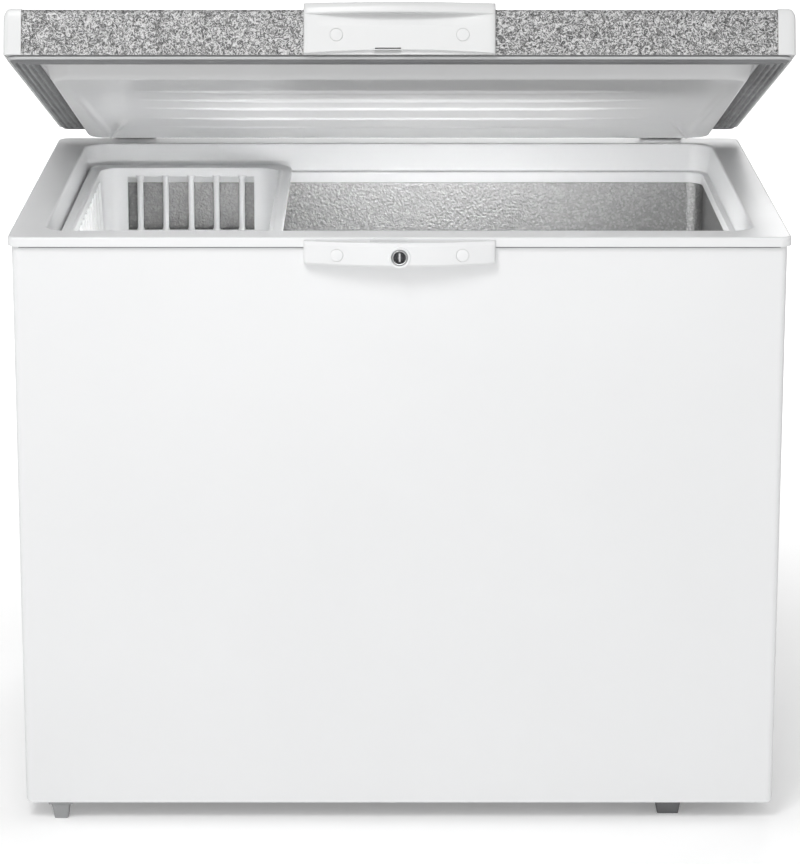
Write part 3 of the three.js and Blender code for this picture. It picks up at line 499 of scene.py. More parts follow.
def rubber(name, base):
    """Dull rubber, slightly clouded."""
    made = Finish(name, 0.75)
    made.colour(made.vary(base, 0.2, 40.0))
    made.bump(made.noise(900.0, 3.0), 0.06)
    return made.material


def lens():
    """Clear green lens of the power lamp."""
    made = Finish("green_lens", 0.12, Transmission_Weight=0.3, IOR=1.49)
    made.colour(made.vary((0.05, 0.42, 0.12), 0.15, 300.0))
    made.bump(made.noise(500.0, 2.0), 0.02)
    return made.material


WHITE = (0.83, 0.835, 0.84)
LID_WHITE = (0.73, 0.735, 0.735)     # darker, because the lamps reach the lid more
PAINT = painted("white_paint", WHITE)
PLASTIC = moulded("white_plastic", WHITE, 0.34)
LID_PLASTIC = moulded("lid_plastic", LID_WHITE, 0.34)
BASKET_PLASTIC = moulded("basket_plastic", WHITE, 0.42, 0.02)
FORMED = moulded("formed_liner", (0.70, 0.702, 0.705), 0.30, 0.006,
                 Coat_Weight=0.3, Coat_Roughness=0.2)
SPECKLED = speckled()
STUCCO = stucco()
ZINC = galvanised()
FOAM = foam()
VINYL = gasket_vinyl()
COPPER = copper()
BLACK_PLASTIC = moulded("black_plastic", (0.022, 0.022, 0.024), 0.5, 0.03)
# Grey of the band along the lid's lower edge: painted shade for a shadowed edge.
EDGE_SHADE_GREY = moulded("edge_shade_grey", (0.52, 0.525, 0.53), 0.4)
GREY_PLASTIC = moulded("grey_plastic", (0.33, 0.335, 0.34), 0.45, 0.03)
DARK_GREY_PLASTIC = moulded("dark_grey_plastic", (0.17, 0.172, 0.176), 0.5, 0.03)
ENAMEL = painted("black_enamel", (0.014, 0.014, 0.015), 0.28, 0.05)
RUBBER = rubber("black_rubber", (0.02, 0.02, 0.02))
LENS = lens()
LOCK_STEEL = worked_steel("lock_steel", (0.06, 0.06, 0.063), 0.26)
LOCK_RING = worked_steel("lock_ring", (0.50, 0.50, 0.505), 0.16)
HINGE_STEEL = worked_steel("hinge_steel", (0.24, 0.245, 0.25), 0.42)
SPRING_STEEL = worked_steel("spring_steel", (0.42, 0.43, 0.44), 0.3)


# ---- top trim ----
def trim_outline(d, z, arc=14):
    """The trim's outline drawn in by d from its outer edge, at height z."""
    side = LAND["side"]
    radius = 14 + 18 * d / side if d <= side else 32 - 0.6 * (d - side)
    flat = round_rect(-HALF + d, HALF - d, d * LAND["front"] / side,
                      DEPTH - d * LAND["rear"] / side, radius, arc)
    return [(x, y, z) for x, y in flat]


def top_trim():
    """The trim as one thin-walled collar, and a dark grey strip under its skirt: painted shade for
    the shadowed gap between skirt and shell.
    """
    wall = 1.8
    side = LAND["side"]
    profile = [
        (0, RIM_TOP - SKIRT), (0, RIM_TOP), (side, RIM_TOP), (48.8, LEDGE_Z),
        (LEDGE_INSET, LEDGE_Z), (LEDGE_INSET, BAND_BOTTOM), (LEDGE_INSET - 1.2, BAND_BOTTOM),
        (LEDGE_INSET - 1.2, LEDGE_Z - 1.6), (47, LEDGE_Z - 1.6), (side - wall, RIM_TOP - wall),
        (wall, RIM_TOP - wall), (wall, RIM_TOP - SKIRT),
    ]
    radii = [0.5, 3.2, 3.6, 2.4, 1.2, 0.4, 0.4, 0.4, 1, 1, 1, 0.5]
    rings = [trim_outline(d, z) for d, z in fillet(profile, radii, 4)]
    ring = loft("trim_collar", rings, closed=True)
    foot = RIM_TOP - SKIRT
    # A thin dark grey strip just under the skirt: painted shade standing for the shadowed gap line,
    # not a real seal.
    seal = [trim_outline(d, z) for d, z in ((4.2, foot - 1.8), (4.2, foot - 0.1),
                                            (4.8, foot - 0.1), (4.8, foot - 1.8))]
    finish(loft("trim_skirt_shadow_line", seal, closed=True), DARK_GREY_PLASTIC, "cabinet", ["top_trim"], 0)
    notch = block(*HOOK_SLOT, -3, 1, RIM_TOP - 4, RIM_TOP + 3)
    finish(cut(ring, notch), PLASTIC, "cabinet", ["top_trim"], 0)


# ---- lock housing, lock and lid handle ----
def stations(half, count, ends=(0, 0.5, 1.4, 3, 6)):
    """Places along x, closer together at both ends."""
    middle = [-half + ends[-1] + (2 * half - 2 * ends[-1]) * i / count for i in range(1, count)]
    return [-half + e for e in ends] + middle + [half - e for e in reversed(ends)]


def bow(x, half, ends, middle):
    """How far a bowed front stands forward at x, drawn in round its two ends."""
    curve = ends + (middle - ends) * (1 - (x / half) ** 2)
    near = half - abs(x)
    corner = 4.5
    if near < corner:
        curve -= corner - math.sqrt(corner ** 2 - (corner - near) ** 2)
    return curve


def lock_housing():
    """Bowed cover over the lock, with a collar round the cylinder and a plug at each side."""
    half = HOUSING[1].x
    low, high = HOUSING[0].z, HOUSING[1].z
    ends, middle, sag = 8, 22, 1     # how far it stands out, and the dip of its lower edge
    hole, plug_z = 10.4, 765
    rings = []
    for x in stations(half, 44):
        out = bow(x, half, ends, middle)
        bottom = low + sag * (x / half) ** 2
        under_skirt = RIM_TOP - SKIRT - 0.4
        outline = [(4.7, bottom), (4.7, under_skirt), (-0.4, under_skirt), (-0.4, high),
                   (-out + 1.2, high), (-out, high - 5), (-out, bottom + 3), (-out + 2, bottom)]
        section = fillet(outline, [0.3, 0.3, 0.3, 0.3, 1.6, 2.5, 2.5, 1.6], 3)
        rings.append([(x, y, z) for y, z in section])
    shell = loft("lock_cover", rings)
    hook_room = block(-37, 9, -11, -3, LOCK_Z - 9.5, high + 5)
    key_hole = turned("tool", [(hole, -40), (hole, -12)], (0, 0, LOCK_Z), "y")
    wells = [well(x, plug_z, -40, -bow(x, half, ends, middle) + 1.6) for x in (-PLUG_X, PLUG_X)]
    cut(shell, hook_room, key_hole, *wells)
    front = -middle
    profile = fillet([(hole, front + 4), (hole, front - 1.6), (13.4, front - 2.4),
                      (14.2, front + 4)], [0, 0.8, 1.4, 0], 3)
    collar = turned("collar", profile, (0, 0, LOCK_Z), "y", 48)
    finish(join("lock_cover", [shell, collar]), PLASTIC, "cabinet", ["lock_housing"], 0.35)
    for x, name in ((-PLUG_X, "left"), (PLUG_X, "right")):
        front = -bow(x, half, ends, middle)
        plug = screw_plug(f"cover_plug_{name}", x, plug_z, front + 1.7, front - 0.45, front - 0.75)
        finish(plug, PLASTIC, "cabinet", [f"housing_plug_{name}"], 0)


def lock_cylinder():
    """Bright ring round a dark barrel: a ring of dots, and a shutter behind the key slot."""
    front, back = LOCK[0].y, LOCK[1].y
    centre = (0, 0, LOCK_Z)
    profile = fillet([(7.4, front + 1.6), (8.1, front + 0.1), (9.2, front), (9.9, front + 1),
                      (9.9, front + 9), (7.4, front + 9)], [0.3, 0.5, 0.5, 0.5, 0.4, 0.3], 3)
    ring = turned("lock_ring", profile, centre, "y", 48)
    profile = fillet([(0, front + 0.7), (3.9, front + 0.7), (4.4, front + 1.4),
                      (5.6, front + 1.4), (6.1, front + 0.8), (7.3, front + 1.2),
                      (7.3, front + 9), (7, back), (0, back)],
                     [0, 0.3, 0.3, 0.3, 0.3, 0.3, 0.4, 0.4, 0], 3)
    barrel = turned("barrel", profile, centre, "y", 48)
    cut(barrel, block(-1.1, 1.1, front - 4, front + 5, LOCK_Z - 5.4, LOCK_Z + 5.4))
    groove, dot = 4.9, 0.5           # radius of the barrel's groove and of a dot in it
    dots = []
    for start in (0.15, 1.15):
        for a in [math.pi * (start + 0.2333 * i) for i in range(4)]:
            outline = [(groove * math.cos(a) + dot * math.cos(b),
                        LOCK_Z + groove * math.sin(a) + dot * math.sin(b)) for b in circle(8)]
            dots.append(prism("dot", outline, "y", front + 0.9, front + 2))
    outline = [(x, LOCK_Z + z) for x, z in ((-1, -5), (1, -5), (1, 5), (-1, 5))]
    shutter = prism("shutter", outline, "y", front + 2.6, front + 3.2)
    finish(ring, LOCK_RING, "lock", ["lock_cylinder"], 0)
    barrel = join("lock_barrel", [barrel, shutter] + dots)
    finish(barrel, LOCK_STEEL, "lock", ["lock_cylinder"], 0.15)


def lid_handle():
    """Bowed grip over a flat plate: scooped under its lip, arched along its foot."""
    half = HANDLE[1].x
    low, high = HANDLE[0].z, HANDLE[1].z
    plate, reach = 9, 20             # how far the plate and the lip stand out
    panel = LID[1].z + 0.6
    lip = high - 15.5
    scooped = 108                    # half the width of the scoop under the lip
    rings = []
    for x in stations(half, 60):
        t = x / half
        out = bow(x, half, plate + 0.6, reach)
        near = plate - bow(x, half, plate, plate)
        front = -plate + near
        arch = low + 0.6 + 4.4 * (1 - t * t)
        scoop = 6.4 * max(0.0, 1 - (x / scooped) ** 2)
        edge = lip + 1.4 * (1 - t * t)
        outline = [
            (-0.3, low), (-3.4 + near * 0.3, low), (-3.4 + near * 0.3, arch), (front, arch),
            (front, lip - 14), (front + scoop * 0.4, lip - 6.5), (front + scoop, edge + 1.2),
            (-out + 1.2, edge), (-out, edge + 1.8), (-out + 0.6, edge + 8),
            (-out + 3.2, high - 2.4), (-out + 6.5, high), (16, high), (16, panel), (-0.3, panel),
        ]
        radii = [0.3, 0.4, 0.4, 1.6, 10, 9, 1.6, 0.8, 0.9, 8, 3, 4, 1, 0.4, 0.4]
        rings.append([(x, y, z) for y, z in fillet(outline, radii, 4)])
    grip = loft("lid_grip", rings, lid=True)
    hook_room = block(*LATCH_SLIT, -plate + 1.6, -1.6, low - 4, low + 12, lid=True)
    slit = block(*LATCH_SLIT, -plate - 4, -plate + 4, low + 6.2, low + 7.8, lid=True)
    plug_z = low + 24
    wells = [well(x, plug_z, -plate - 9, -plate + 1.2, lid=True) for x in (-PLUG_X, PLUG_X)]
    finish(cut(grip, hook_room, slit, *wells), LID_PLASTIC, "lid", ["lid_handle"], 0.3)
    strip = block(LATCH_SLIT[0] + 0.5, LATCH_SLIT[1] - 0.5, -plate + 2.2, -2,
                  low + 5.8, low + 9, lid=True)
    strip.name = "latch_shadow_strip"
    finish(strip, BLACK_PLASTIC, "lid", ["lid_handle"], 0)
    for x, name in ((-PLUG_X, "left"), (PLUG_X, "right")):
        plug = screw_plug(f"grip_plug_{name}", x, plug_z,
                          -plate + 1.3, -plate - 0.4, -plate - 0.6, lid=True)
        finish(plug, LID_PLASTIC, "lid", [f"handle_plug_{name}"], 0)


# ---- lid ----
def ease(t):
    """A smooth step from 0 to 1."""
    t = min(1.0, max(0.0, t))
    return t * t * (3 - 2 * t)


def graded(stops):
    """Places between stops, each stretch (end, step) at its own spacing."""
    places = [stops[0]]
    for end, step in stops[1:]:
        start = places[-1]
        count = max(1, round((end - start) / step))
        places += [start + (end - start) * (i + 1) / count for i in range(count)]
    return places


DISH = {                             # the hollow shape formed into the lid's liner
    "x": 452, "front": 50, "rear": 641, "radius": 38,      # its edge, from above
    "drop": 22, "rear_drop": 29,                           # its depth, front and rear
    "side_run": 9, "front_run": 13, "rear_run": 24,        # how far its walls slope in
}
LIP = 0.24                           # part of a wall that rounds over into the floor
RIBS = [(166, 3.2), (243, 3.4), (317, 3.4), (412, 3.0), (500, 1.6)]     # y and height
RIB_HALF = 6


def from_edge(distance, run):
    """A distance in from an end of the dish, as if its wall sloped like the side walls."""
    if distance > run:
        return DISH["side_run"] + distance - run
    return max(distance, -20) * DISH["side_run"] / run


def dish_depth(x, y):
    """How far the dish hangs below the liner's flange at x, y, and how far in that is."""
    d = DISH
    run = d["side_run"]
    from_side = d["x"] - abs(x)
    from_end = min(from_edge(y - d["front"], d["front_run"]),
                   from_edge(d["rear"] - y, d["rear_run"]))
    r = d["radius"]
    if from_side < r and from_end < r:
        inside = r - math.hypot(r - from_side, r - from_end)
    else:
        inside = min(from_side, from_end)
    wall = inside / run
    drop = d["drop"] + (d["rear_drop"] - d["drop"]) * (y - d["front"]) / (d["rear"] - d["front"])
    depth = drop * min(1.0, max(0.0, wall))
    if 1 - LIP < wall < 1 + LIP * 1.6:
        t = (wall - 1 + LIP) / (LIP * 2.6)
        depth = drop * (1 - LIP * (1 - t) ** 2)
    if wall < 0.25:
        depth = drop * max(0.0, (wall + 0.25)) ** 2
    if inside <= -0.25 * run:
        depth = 0.0
    return depth, inside


def crease(x, y, start, end, half_width):
    """One at the middle of a ridge running between two points, falling to zero beside it."""
    a, b, p = Vector(start), Vector(end), Vector((x, y))
    along = (b - a).length
    t = min(1.0, max(0.0, (p - a).dot(b - a) / along ** 2))
    off = (p - a - (b - a) * t).length / half_width
    return (1 - off * off) ** 2 if off < 1 else 0.0


def liner_relief(x, y):
    """Ribs across the dish, a ridge near each side and a short crease in each rear corner."""
    relief = 0.0
    fade = ease((380 - abs(x)) / 190)
    for middle, height in RIBS:
        off = (y - middle) / RIB_HALF
        if abs(off) < 1:
            relief += height * fade * (1 - off * off) ** 2
    side = abs(x)
    if side > 340:
        relief += 2.0 * crease(side, y, (424, 110), (411, 577), 8) * ease((y - 90) / 200)
        relief += 4.2 * crease(side, y, (409, 580), (378, 425), 6.5) * ease((y - 405) / 90)
    return relief


def lid_liner():
    """The formed sheet under the lid, on a grid that is finest where it bends."""
    x1 = LINER[1].x
    y0, y1 = LINER[0].y, LINER[1].y
    d = DISH
    half = graded([0, (340, 12), (d["x"] - 60, 3), (d["x"] - 14, 2.2),
                   (d["x"] + 3, 0.9), (x1, 6)])
    across = [-x for x in reversed(half[1:])] + half
    back = graded([y0, (d["front"] - 8, 5), (d["front"] + d["front_run"] + 14, 1.4), (155, 4),
                   (424, 1.6), (520, 2.2), (d["rear"] - d["rear_run"] - 20, 3),
                   (d["rear"] + 5, 1.6), (y1, 5)])
    flange = LID[0].z
    points, faces = [], []
    for y in back:
        for x in across:
            depth, inside = dish_depth(x, y)
            level = ease((inside - 12) / 14)
            points.append((x, y, flange - depth - level * liner_relief(x, y)))
    wide = len(across)
    for j in range(len(back) - 1):
        for i in range(wide - 1):
            a = j * wide + i
            faces.append((a, a + 1, a + wide + 1, a + wide))
    sheet = mesh_piece("formed_liner", points, faces, lid=True)
    thick = sheet.modifiers.new("sheet", "SOLIDIFY")
    thick.thickness = 1.4 * MM
    thick.offset = -1 if sheet.data.polygons[0].normal.z < 0 else 1
    finish(sheet, FORMED, "lid", ["lid_liner"], 0)


def lid_foam():
    """Foam between the lid's panel and its formed liner, set just behind the liner."""
    box = in_mm("lid_foam", closed=True)
    base = LID[0].z + 3
    d = DISH
    levels = [(10, base + 4), (18, base - 8), (26, base - d["drop"] + 8), (32, base - d["drop"] + 4)]
    rings = []
    for inset, z in levels:
        flat = round_rect(-d["x"] + inset, d["x"] - inset,
                          d["front"] + inset + 8, d["rear"] - inset - 8, 36, 8)
        rings.append([(x, y, z) for x, y in flat])
    dish = loft("dish", rings, lid=True)
    plate = block(box[0].x, box[1].x, box[0].y, box[1].y, base, box[1].z - 1, lid=True)
    finish(join("lid_core", [dish, plate]), FOAM, "lid", ["lid_foam"], 0)


def lid_gasket():
    """Magnetic seal with rolled ridges, and a thin grey band along its outer edge: painted shade for
    the shadowed lower edge of the lid.
    """
    top, low = GASKET[1].z, GASKET[0].z
    outer, y0, y1 = GASKET[1].x, GASKET[0].y, GASKET[1].y
    width = 32

    def ring(d, z):
        flat = round_rect(-outer + d, outer - d, y0 + d, y1 - d, 12 - d / 4, 10)
        return [(x, y, z) for x, y in flat]

    profile = [(0, top), (0.6, low + 4.6), (2.2, low + 2.4), (4.4, low + 0.4), (7.2, low + 0.4),
               (9.4, low + 3.4), (11.8, low + 0.2), (14.6, low), (17.2, low + 3.2),
               (19.8, low + 0.3), (22.6, low + 0.3), (25, low + 3.6), (27.2, low + 1.2),
               (29.6, low + 2), (31.4, low + 5.4), (width, top)]
    radii = [0.2] + [1.4] * (len(profile) - 2) + [0.2]
    rings = [ring(d, z) for d, z in fillet(profile, radii, 3)]
    finish(loft("lid_seal", rings, closed=True, lid=True), VINYL, "lid", ["lid_gasket"], 0)
    # Grey band just outside the seal: painted shade along the lid's lower edge.
    edge_shade_rings = [ring(d, z) for d, z in ((-2.4, top - 1.2), (-2.4, top - 4.4),
                                   (1, top - 4.8), (1, top - 1.2))]
    finish(loft("lid_edge_shade_band", edge_shade_rings, closed=True, lid=True), EDGE_SHADE_GREY, "lid", ["lid_gasket"], 0.2)


def lid_side_trim(side, name):
    """End cap of the lid: a flat outer face with rounded edges and a sloping shoulder."""
    box = in_mm(f"lid_side_trim_{name}", closed=True)
    inner, outer = sorted((abs(box[0].x), abs(box[1].x)))
    bottom, top = box[0].z, box[1].z
    y0, y1 = box[0].y, box[1].y
    wall = 2.5

    def ring(z, out, ends, r):
        corners = [(inner, y0 + ends), (outer - out, y0 + ends),
                   (outer - out, y1 - ends), (inner, y1 - ends)]
        return [(side * x, y, z) for x, y in fillet(corners, [0.4, r, r, 0.4], 7)]

    levels = [(bottom, 0.6, 0.5, 7.6), (bottom + 0.8, 0, 0, 8), (top - 13, 0, 0, 8),
              (top - 9.5, 0.35, 0.1, 7.5), (top - 6.5, 1.3, 0.4, 6.5), (top - 3, 3.4, 1.2, 5),
              (top - 1, 5.6, 2.2, 3.5), (top - 0.2, 8, 3.4, 3), (top, 10, 4.5, 2.5)]
    shell = loft(f"lid_cap_{name}", [ring(*level) for level in levels], lid=True)
    hollow = sorted((side * (inner - 5), side * (outer - wall)))
    cut(shell, block(*hollow, y0 + 3, y1 - 3, bottom - 5, top - 4, lid=True))
    finish(shell, LID_PLASTIC, "lid", [f"lid_side_trim_{name}"], 0.25)


# ---- basket ----
BAR_PITCH = 36.6
BASKET_INSET = 17                    # rim's edge to the inside of the wall, at the top
DRAFT = 10                           # how much further in the wall is at the bottom
REAR_INSET = 8                       # the rear wall stands further in by this
WALL = 3
CORNER = 30                          # corner radius inside, at the top


def basket_inset(z):
    """The inside of the basket's wall at height z, in from its rim."""
    low, high = BASKET[0].z, BASKET[1].z
    return BASKET_INSET + DRAFT * (high - z) / (high - low)


def corner_radius(d):
    """The corner radius of the basket's wall where it is d in from the rim's edge."""
    return CORNER - 0.6 * (d - BASKET_INSET)


def basket_rim():
    """Rolled flange that hangs on the ledge, with a raised lip round the inside."""
    z0, z1 = LEDGE_Z + 0.4, BASKET[1].z
    profile = [(0, z0), (0, z1 - 1), (3.5, z1 - 0.2), (BASKET_INSET - 5.5, z1 - 0.9),
               (BASKET_INSET - 3, z1), (BASKET_INSET, z1 - 0.4), (BASKET_INSET + 0.5, z1 - 14),
               (BASKET_INSET - 2.5, z1 - 14), (BASKET_INSET - 3.4, z1 - 3.6), (3, z1 - 3.2), (3, z0)]
    radii = [0.8, 2.4, 3, 1.5, 1.2, 1.4, 0.9, 0.9, 2, 1.5, 0.8]
    rings = []
    for d, z in fillet(profile, radii, 4):
        corner = 26 + d * 0.25
        flat = round_rect(BASKET[0].x + d, BASKET[1].x - d, BASKET[0].y + d,
                          BASKET[1].y - d - REAR_INSET * ease(d / BASKET_INSET), corner, 12)
        rings.append([(x, y, z) for x, y in flat])
    return loft("rim", rings, closed=True)


def basket_band(z0, z1, floor=False):
    """A stretch of the basket's wall all round, or a tray if it has a floor."""
    def ring(z, out):
        d = basket_inset(z)
        radius = corner_radius(d) - out
        d += out
        flat = round_rect(BASKET[0].x + d, BASKET[1].x - d,
                          BASKET[0].y + d, BASKET[1].y - d - REAR_INSET, radius, 9)
        return [(x, y, z) for x, y in flat]

    count = max(1, round((z1 - z0) / 12))
    levels = [z0 + (z1 - z0) * i / count for i in range(count + 1)]
    inside = [ring(z, 0) for z in levels]
    outside = [ring(z, -WALL) for z in reversed(levels)]
    if floor:
        return loft("band", [ring(z0 + WALL, 0)] + inside[1:] + outside)
    return loft("band", inside + outside, closed=True)


def corner_post(sx, sy, z0, z1, x_edge, y_edge):
    """The solid corner of the wall between the last openings of its two sides."""
    rings = []
    steps = 8
    for i in range(steps + 1):
        z = z0 + (z1 - z0) * i / steps
        d = basket_inset(z)
        loops = []
        for grow in (0, -WALL):
            r = corner_radius(d) - grow
            x = BASKET[1].x - d - grow if sx > 0 else BASKET[0].x + d + grow
            y = BASKET[1].y - d - REAR_INSET - grow if sy > 0 else BASKET[0].y + d + grow
            arc = [(x - sx * r * (1 - math.cos(t)), y - sy * r * (1 - math.sin(t)), z)
                   for t in [math.pi / 2 * k / steps for k in range(steps + 1)]]
            loops.append([(x, y_edge, z)] + arc + [(x_edge, y, z)])
        rings.append(loops[0] + loops[1][::-1])
    return loft("post", rings)


def bar(at, z0, z1, axis, lean):
    """A rounded upright of the basket, wider where it runs into the bands."""
    rings = []
    steps = 14
    for i in range(steps + 1):
        t = i / steps
        z = z0 + (z1 - z0) * t
        near = min(t, 1 - t) * (z1 - z0)
        flare = 2.2 * (1 - ease(near / 6))
        push = lean(z)
        ring = []
        for a in circle(14):
            wide = (4.3 + flare) * math.cos(a)
            deep = 3.6 * math.sin(a)
            along, through = at + wide, push + deep
            ring.append((along, through, z) if axis == "x" else (through, along, z))
        rings.append(ring)
    return loft("bar", rings)


def bar_places(start, end):
    """Middles of the bars of one wall, evenly spaced and centred."""
    count = round((end - start) / BAR_PITCH)
    first = (start + end - (count - 1) * BAR_PITCH) / 2
    return [first + i * BAR_PITCH for i in range(count)]


def basket():
    """Rim, three bands and two tiers of bars; the lowest band carries the ribbed floor."""
    low, high = BASKET[0].z, BASKET[1].z
    x0, x1 = BASKET[0].x + 54, BASKET[1].x - 54
    y0, y1 = BASKET[0].y + 52, BASKET[1].y - 60
    tiers = [(high - 91, high - 13), (low + 22, high - 103)]
    pieces = [basket_rim(), basket_band(low, tiers[1][0], floor=True),
              basket_band(tiers[1][1], tiers[0][0]), basket_band(tiers[0][1], high - 6)]
    walls = [("x", x0, x1, lambda d: BASKET[0].y + d),
             ("x", x0, x1, lambda d: BASKET[1].y - REAR_INSET - d),
             ("y", y0, y1, lambda d: BASKET[0].x + d),
             ("y", y0, y1, lambda d: BASKET[1].x - d)]
    for z0, z1 in tiers:
        for sx, x_edge in ((-1, x0), (1, x1)):
            for sy, y_edge in ((-1, y0), (1, y1)):
                pieces.append(corner_post(sx, sy, z0 - 0.5, z1 + 0.5, x_edge, y_edge))
        for axis, start, end, place in walls:
            for at in bar_places(start, end):
                pieces.append(bar(at, z0 - 2, z1 + 2, axis,
                                  lambda z, p=place: p(basket_inset(z) - WALL / 2)))
    floor_ribs = [block(x0 - 20, x1 + 20, y - 1.5, y + 1.5, low + 2.5, low + 5.5)
                  for y in [y0 + i * 78.8 for i in range(7)]]
    finish(join("basket_moulding", pieces + floor_ribs), BASKET_PLASTIC, "basket", ["basket"], 0.3)


# ---- back ----
def back_panel():
    """Rear sheet with long pressed beads that stop it drumming."""
    y = BACK[1].y
    x0, x1, z0, z1 = BACK[0].x, BACK[1].x, BACK[0].z, BACK[1].z
    bay_x, bay_z = BAY[0].x - 2, BAY[1].z + 1
    beads = [-430 + 43 * i for i in range(21)]
    bead_half, bead_height = 7, 0.8
    hinge_x, hinge_half, hinge_foot = 384, 36, 630         # left flat behind the hinges
    strips = 330
    columns = graded([x0] + [(x0 + (x1 - x0) * i / strips, 3) for i in range(1, strips + 1)])
    rows = graded([z0, (z0 + 60, 10), (z1 - 40, 22), (z1, 8)])

    def relief(x, z):
        near = min(abs(x - b) for b in beads)
        at_hinge = abs(abs(x) - hinge_x) < hinge_half and z > hinge_foot
        if at_hinge or near > bead_half:
            return 0
        floor = bay_z + 40 if x > bay_x - 30 else z0 + 45
        ends = ease((z - floor) / 12) * ease((z1 - 60 - z) / 12)
        return bead_height * (1 - (near / bead_half) ** 2) ** 2 * ends

    points, faces = [], []
    for z in rows:
        for x in columns:
            points.append((x, y - 0.95 + relief(x, z), z))
    wide = len(columns)
    for j in range(len(rows) - 1):
        for i in range(wide - 1):
            inside_bay = columns[i] > bay_x - 2 and rows[j] < bay_z - 2
            if not inside_bay:
                a = j * wide + i
                faces.append((a, a + 1, a + wide + 1, a + wide))
    sheet = mesh_piece("beaded_back", points, faces)
    thick = sheet.modifiers.new("sheet", "SOLIDIFY")
    thick.thickness = 0.5 * MM
    thick.offset = 0
    finish(sheet, ZINC, "cabinet", ["back_panel"], 0)


# ---- hinges ----
def hinge_spring(name):
    """Close-wound spring round the hinge pin."""
    box = in_mm(f"hinge_spring_{name}")
    middle = (box[0].x + box[1].x) / 2
    turns, steps, wire, radius = 9, 20, 1.5, 7.7
    width = 34
    path = []
    for i in range(turns * steps + 1):
        a = 2 * math.pi * i / steps
        path.append(Vector((middle - width / 2 + width * i / (turns * steps),
                            HINGE.y + radius * math.cos(a), HINGE.z + radius * math.sin(a))))
    rings = []
    for i, at in enumerate(path):
        along = (path[min(i + 1, len(path) - 1)] - path[max(i - 1, 0)]).normalized()
        out = Vector((0, at.y - HINGE.y, at.z - HINGE.z)).normalized()
        up = along.cross(out)
        rings.append([tuple(at + wire * (math.cos(a) * out + math.sin(a) * up)) for a in circle(8)])
    spring = loft(f"coil_spring_{name}", rings)
    finish(spring, SPRING_STEEL, "cabinet", [f"hinge_spring_{name}"], 0)


# ---- CAD nodes that keep their shape ----
KEPT = [                             # material, width of the rounded edges, nodes
    (PAINT, 0.8, ["outer_shell"]),
    (SPECKLED, 0.5, ["lid_top_panel"]),
    (STUCCO, 0.5, ["inner_liner"]),
    (FOAM, 0, ["insulation_foam"]),
    (ZINC, 0.3, ["base_panel", "bay_wrap", "rear_cover", "compressor_plate", "lock_hook"]),
    (PLASTIC, 0.4, ["side_grille", "thermostat_knob", "drain_tube", "drain_plug"]),
    (BLACK_PLASTIC, 0.6, ["thermostat_housing", "power_inlet_gland", "relay_cover"]),
    (LENS, 0.4, ["indicator_lamp"]),
    (ENAMEL, 0.8, ["compressor"]),
    (COPPER, 0, ["filter_drier", "suction_tube", "discharge_tube", "drier_tube",
                 "evaporator_coil", "condenser_coil"]),
    (RUBBER, 0.5, [f"compressor_grommet_{i}" for i in range(1, 5)]),
    (GREY_PLASTIC, 0.8, ["foot_front_left", "foot_rear_left", "drain_cap"]),
    (DARK_GREY_PLASTIC, 1.0, ["foot_front_right", "foot_rear_right"]),
    (HINGE_STEEL, 0.4, [f"hinge_{part}_{side}" for part in ("base", "leaf")
                        for side in ("left", "right")]),
    (SPRING_STEEL, 0.3, [f"hinge_pin_{side}" for side in ("left", "right")]
     + [f"hinge_screw_{side}_{at}" for side in ("left", "right") for at in ("outer", "inner")]),
]

for material, width, names in KEPT:
    for node in names:
        dress(node, material, width)

top_trim()
lock_housing()
lock_cylinder()
lid_handle()
lid_liner()
lid_foam()
lid_gasket()
basket()
back_panel()
for side, name in ((-1, "left"), (1, "right")):
    lid_side_trim(side, name)
    hinge_spring(name)


# ---- floor, light and camera ----
WORLD_LIGHT = 0.36                   # on the object; the room itself is seen as white
FLOOR = [(-30000, -12000, 0), (30000, -12000, 0), (30000, 40000, 0), (-30000, 40000, 0)]
FLOOR_FADE = {"From Min": 0.6, "From Max": 2.4,            # metres from the middle
              "To Min": 0.2, "To Max": 1.0}                # glow, as the camera sees it
# Name, place, aim, width and height in metres, watts. The last two light the tub from
# inside it, and the camera doesn't see any of the lamps.
LAMPS = [
    ("key", (-0.9, -2.5, 3.3), (0, -0.33, 0.5), (1.4, 1.4), 49.5),
    ("front", (0.2, -3.9, 2.9), (0, 0.1, 0.65), (1.8, 1.2), 13),
    ("low", (-0.2, -4.2, 0.75), (0, -0.2, 0.8), (2.0, 1.0), 26),
    ("left", (-3.2, -1.0, 1.6), (0, 0, 0.6), (1.8, 1.8), 14),
    ("right", (3.2, -1.0, 1.6), (0, 0, 0.6), (1.8, 1.8), 12),
    ("rear", (0.4, 3.4, 2.4), (0, 0.3, 0.5), (2.4, 2.0), 45),
    ("mouth", (0.03, -0.27, 0.69), (0.03, 0.33, 0.54), (0.76, 0.06), 2.55),
    ("tub", (0.0, -0.2, 0.60), (0, 0.12, 0.98), (0.84, 0.16), 0.15),
]


def seen_white(tree, strength, seen, socket):
    """Sets a strength to one value as it lights and to another as the camera sees it."""
    path = tree.nodes.new("ShaderNodeLightPath")
    choose = tree.nodes.new("ShaderNodeMapRange")
    choose.inputs["To Min"].default_value = strength
    if hasattr(seen, "links"):
        tree.links.new(seen, choose.inputs["To Max"])
    else:
        choose.inputs["To Max"].default_value = seen
    tree.links.new(path.outputs["Is Camera Ray"], choose.inputs["Value"])
    tree.links.new(choose.outputs["Result"], socket)


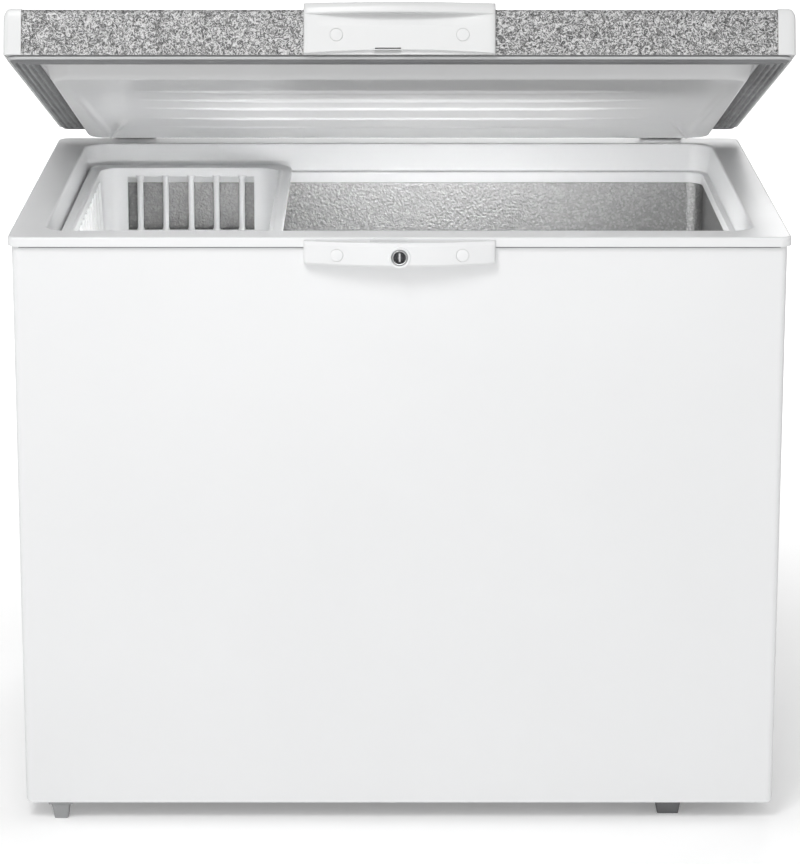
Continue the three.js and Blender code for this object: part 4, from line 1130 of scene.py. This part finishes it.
def studio():
    """A pale floor that fades to white away from the part, a white room and soft lamps."""
    floor = mesh_piece("floor", FLOOR, [(0, 1, 2, 3)])
    pale = Finish("pale_floor", 0.9, Emission_Color=(1, 1, 1, 1))
    pale.colour(pale.vary((0.90, 0.90, 0.90), 0.004, 0.8))
    distance = pale.tree.nodes.new("ShaderNodeVectorMath")
    distance.operation = "LENGTH"
    where = pale.tree.nodes.new("ShaderNodeTexCoord")
    pale.tree.links.new(where.outputs["Object"], distance.inputs[0])
    away = pale.tree.nodes.new("ShaderNodeMapRange")
    for socket, value in FLOOR_FADE.items():
        away.inputs[socket].default_value = value
    pale.tree.links.new(distance.outputs["Value"], away.inputs["Value"])
    seen_white(pale.tree, 0.0, away.outputs["Result"], pale.shader.inputs["Emission Strength"])
    floor.data.materials.append(pale.material)
    world = bpy.data.worlds.new("studio")
    bpy.context.scene.world = world
    world.use_nodes = True
    background = world.node_tree.nodes["Background"]
    background.inputs["Color"].default_value = (1, 1, 1, 1)
    seen_white(world.node_tree, WORLD_LIGHT, 1.0, background.inputs["Strength"])
    for name, place, aim, size, power in LAMPS:
        data = bpy.data.lights.new(name, "AREA")
        data.shape = "ELLIPSE"
        data.size, data.size_y = size
        data.energy = power
        lamp = bpy.data.objects.new(name, data)
        bpy.context.scene.collection.objects.link(lamp)
        lamp.visible_camera = False
        lamp.visible_glossy = name != "tub"
        lamp.location = place
        lamp.rotation_euler = (Vector(aim) - Vector(place)).to_track_quat("-Z", "Y").to_euler()


CAMERA = {"place": (-10.4, -4075.3, 1664.0), "down": 13.63,      # millimetres, degrees
          "lens": 138.0, "sensor": 36, "shift": (0.0101, -0.1278), "reach": 200}


def camera():
    data = bpy.data.cameras.new("camera")
    data.sensor_width = CAMERA["sensor"]
    data.lens = CAMERA["lens"]
    data.shift_x, data.shift_y = CAMERA["shift"]
    data.clip_end = CAMERA["reach"]
    made = bpy.data.objects.new("camera", data)
    bpy.context.scene.collection.objects.link(made)
    made.location = placed(CAMERA["place"])
    made.rotation_euler = (math.radians(90 - CAMERA["down"]), 0, 0)
    bpy.context.scene.camera = made


studio()
camera()
bpy.context.scene.view_settings.view_transform = "Standard"
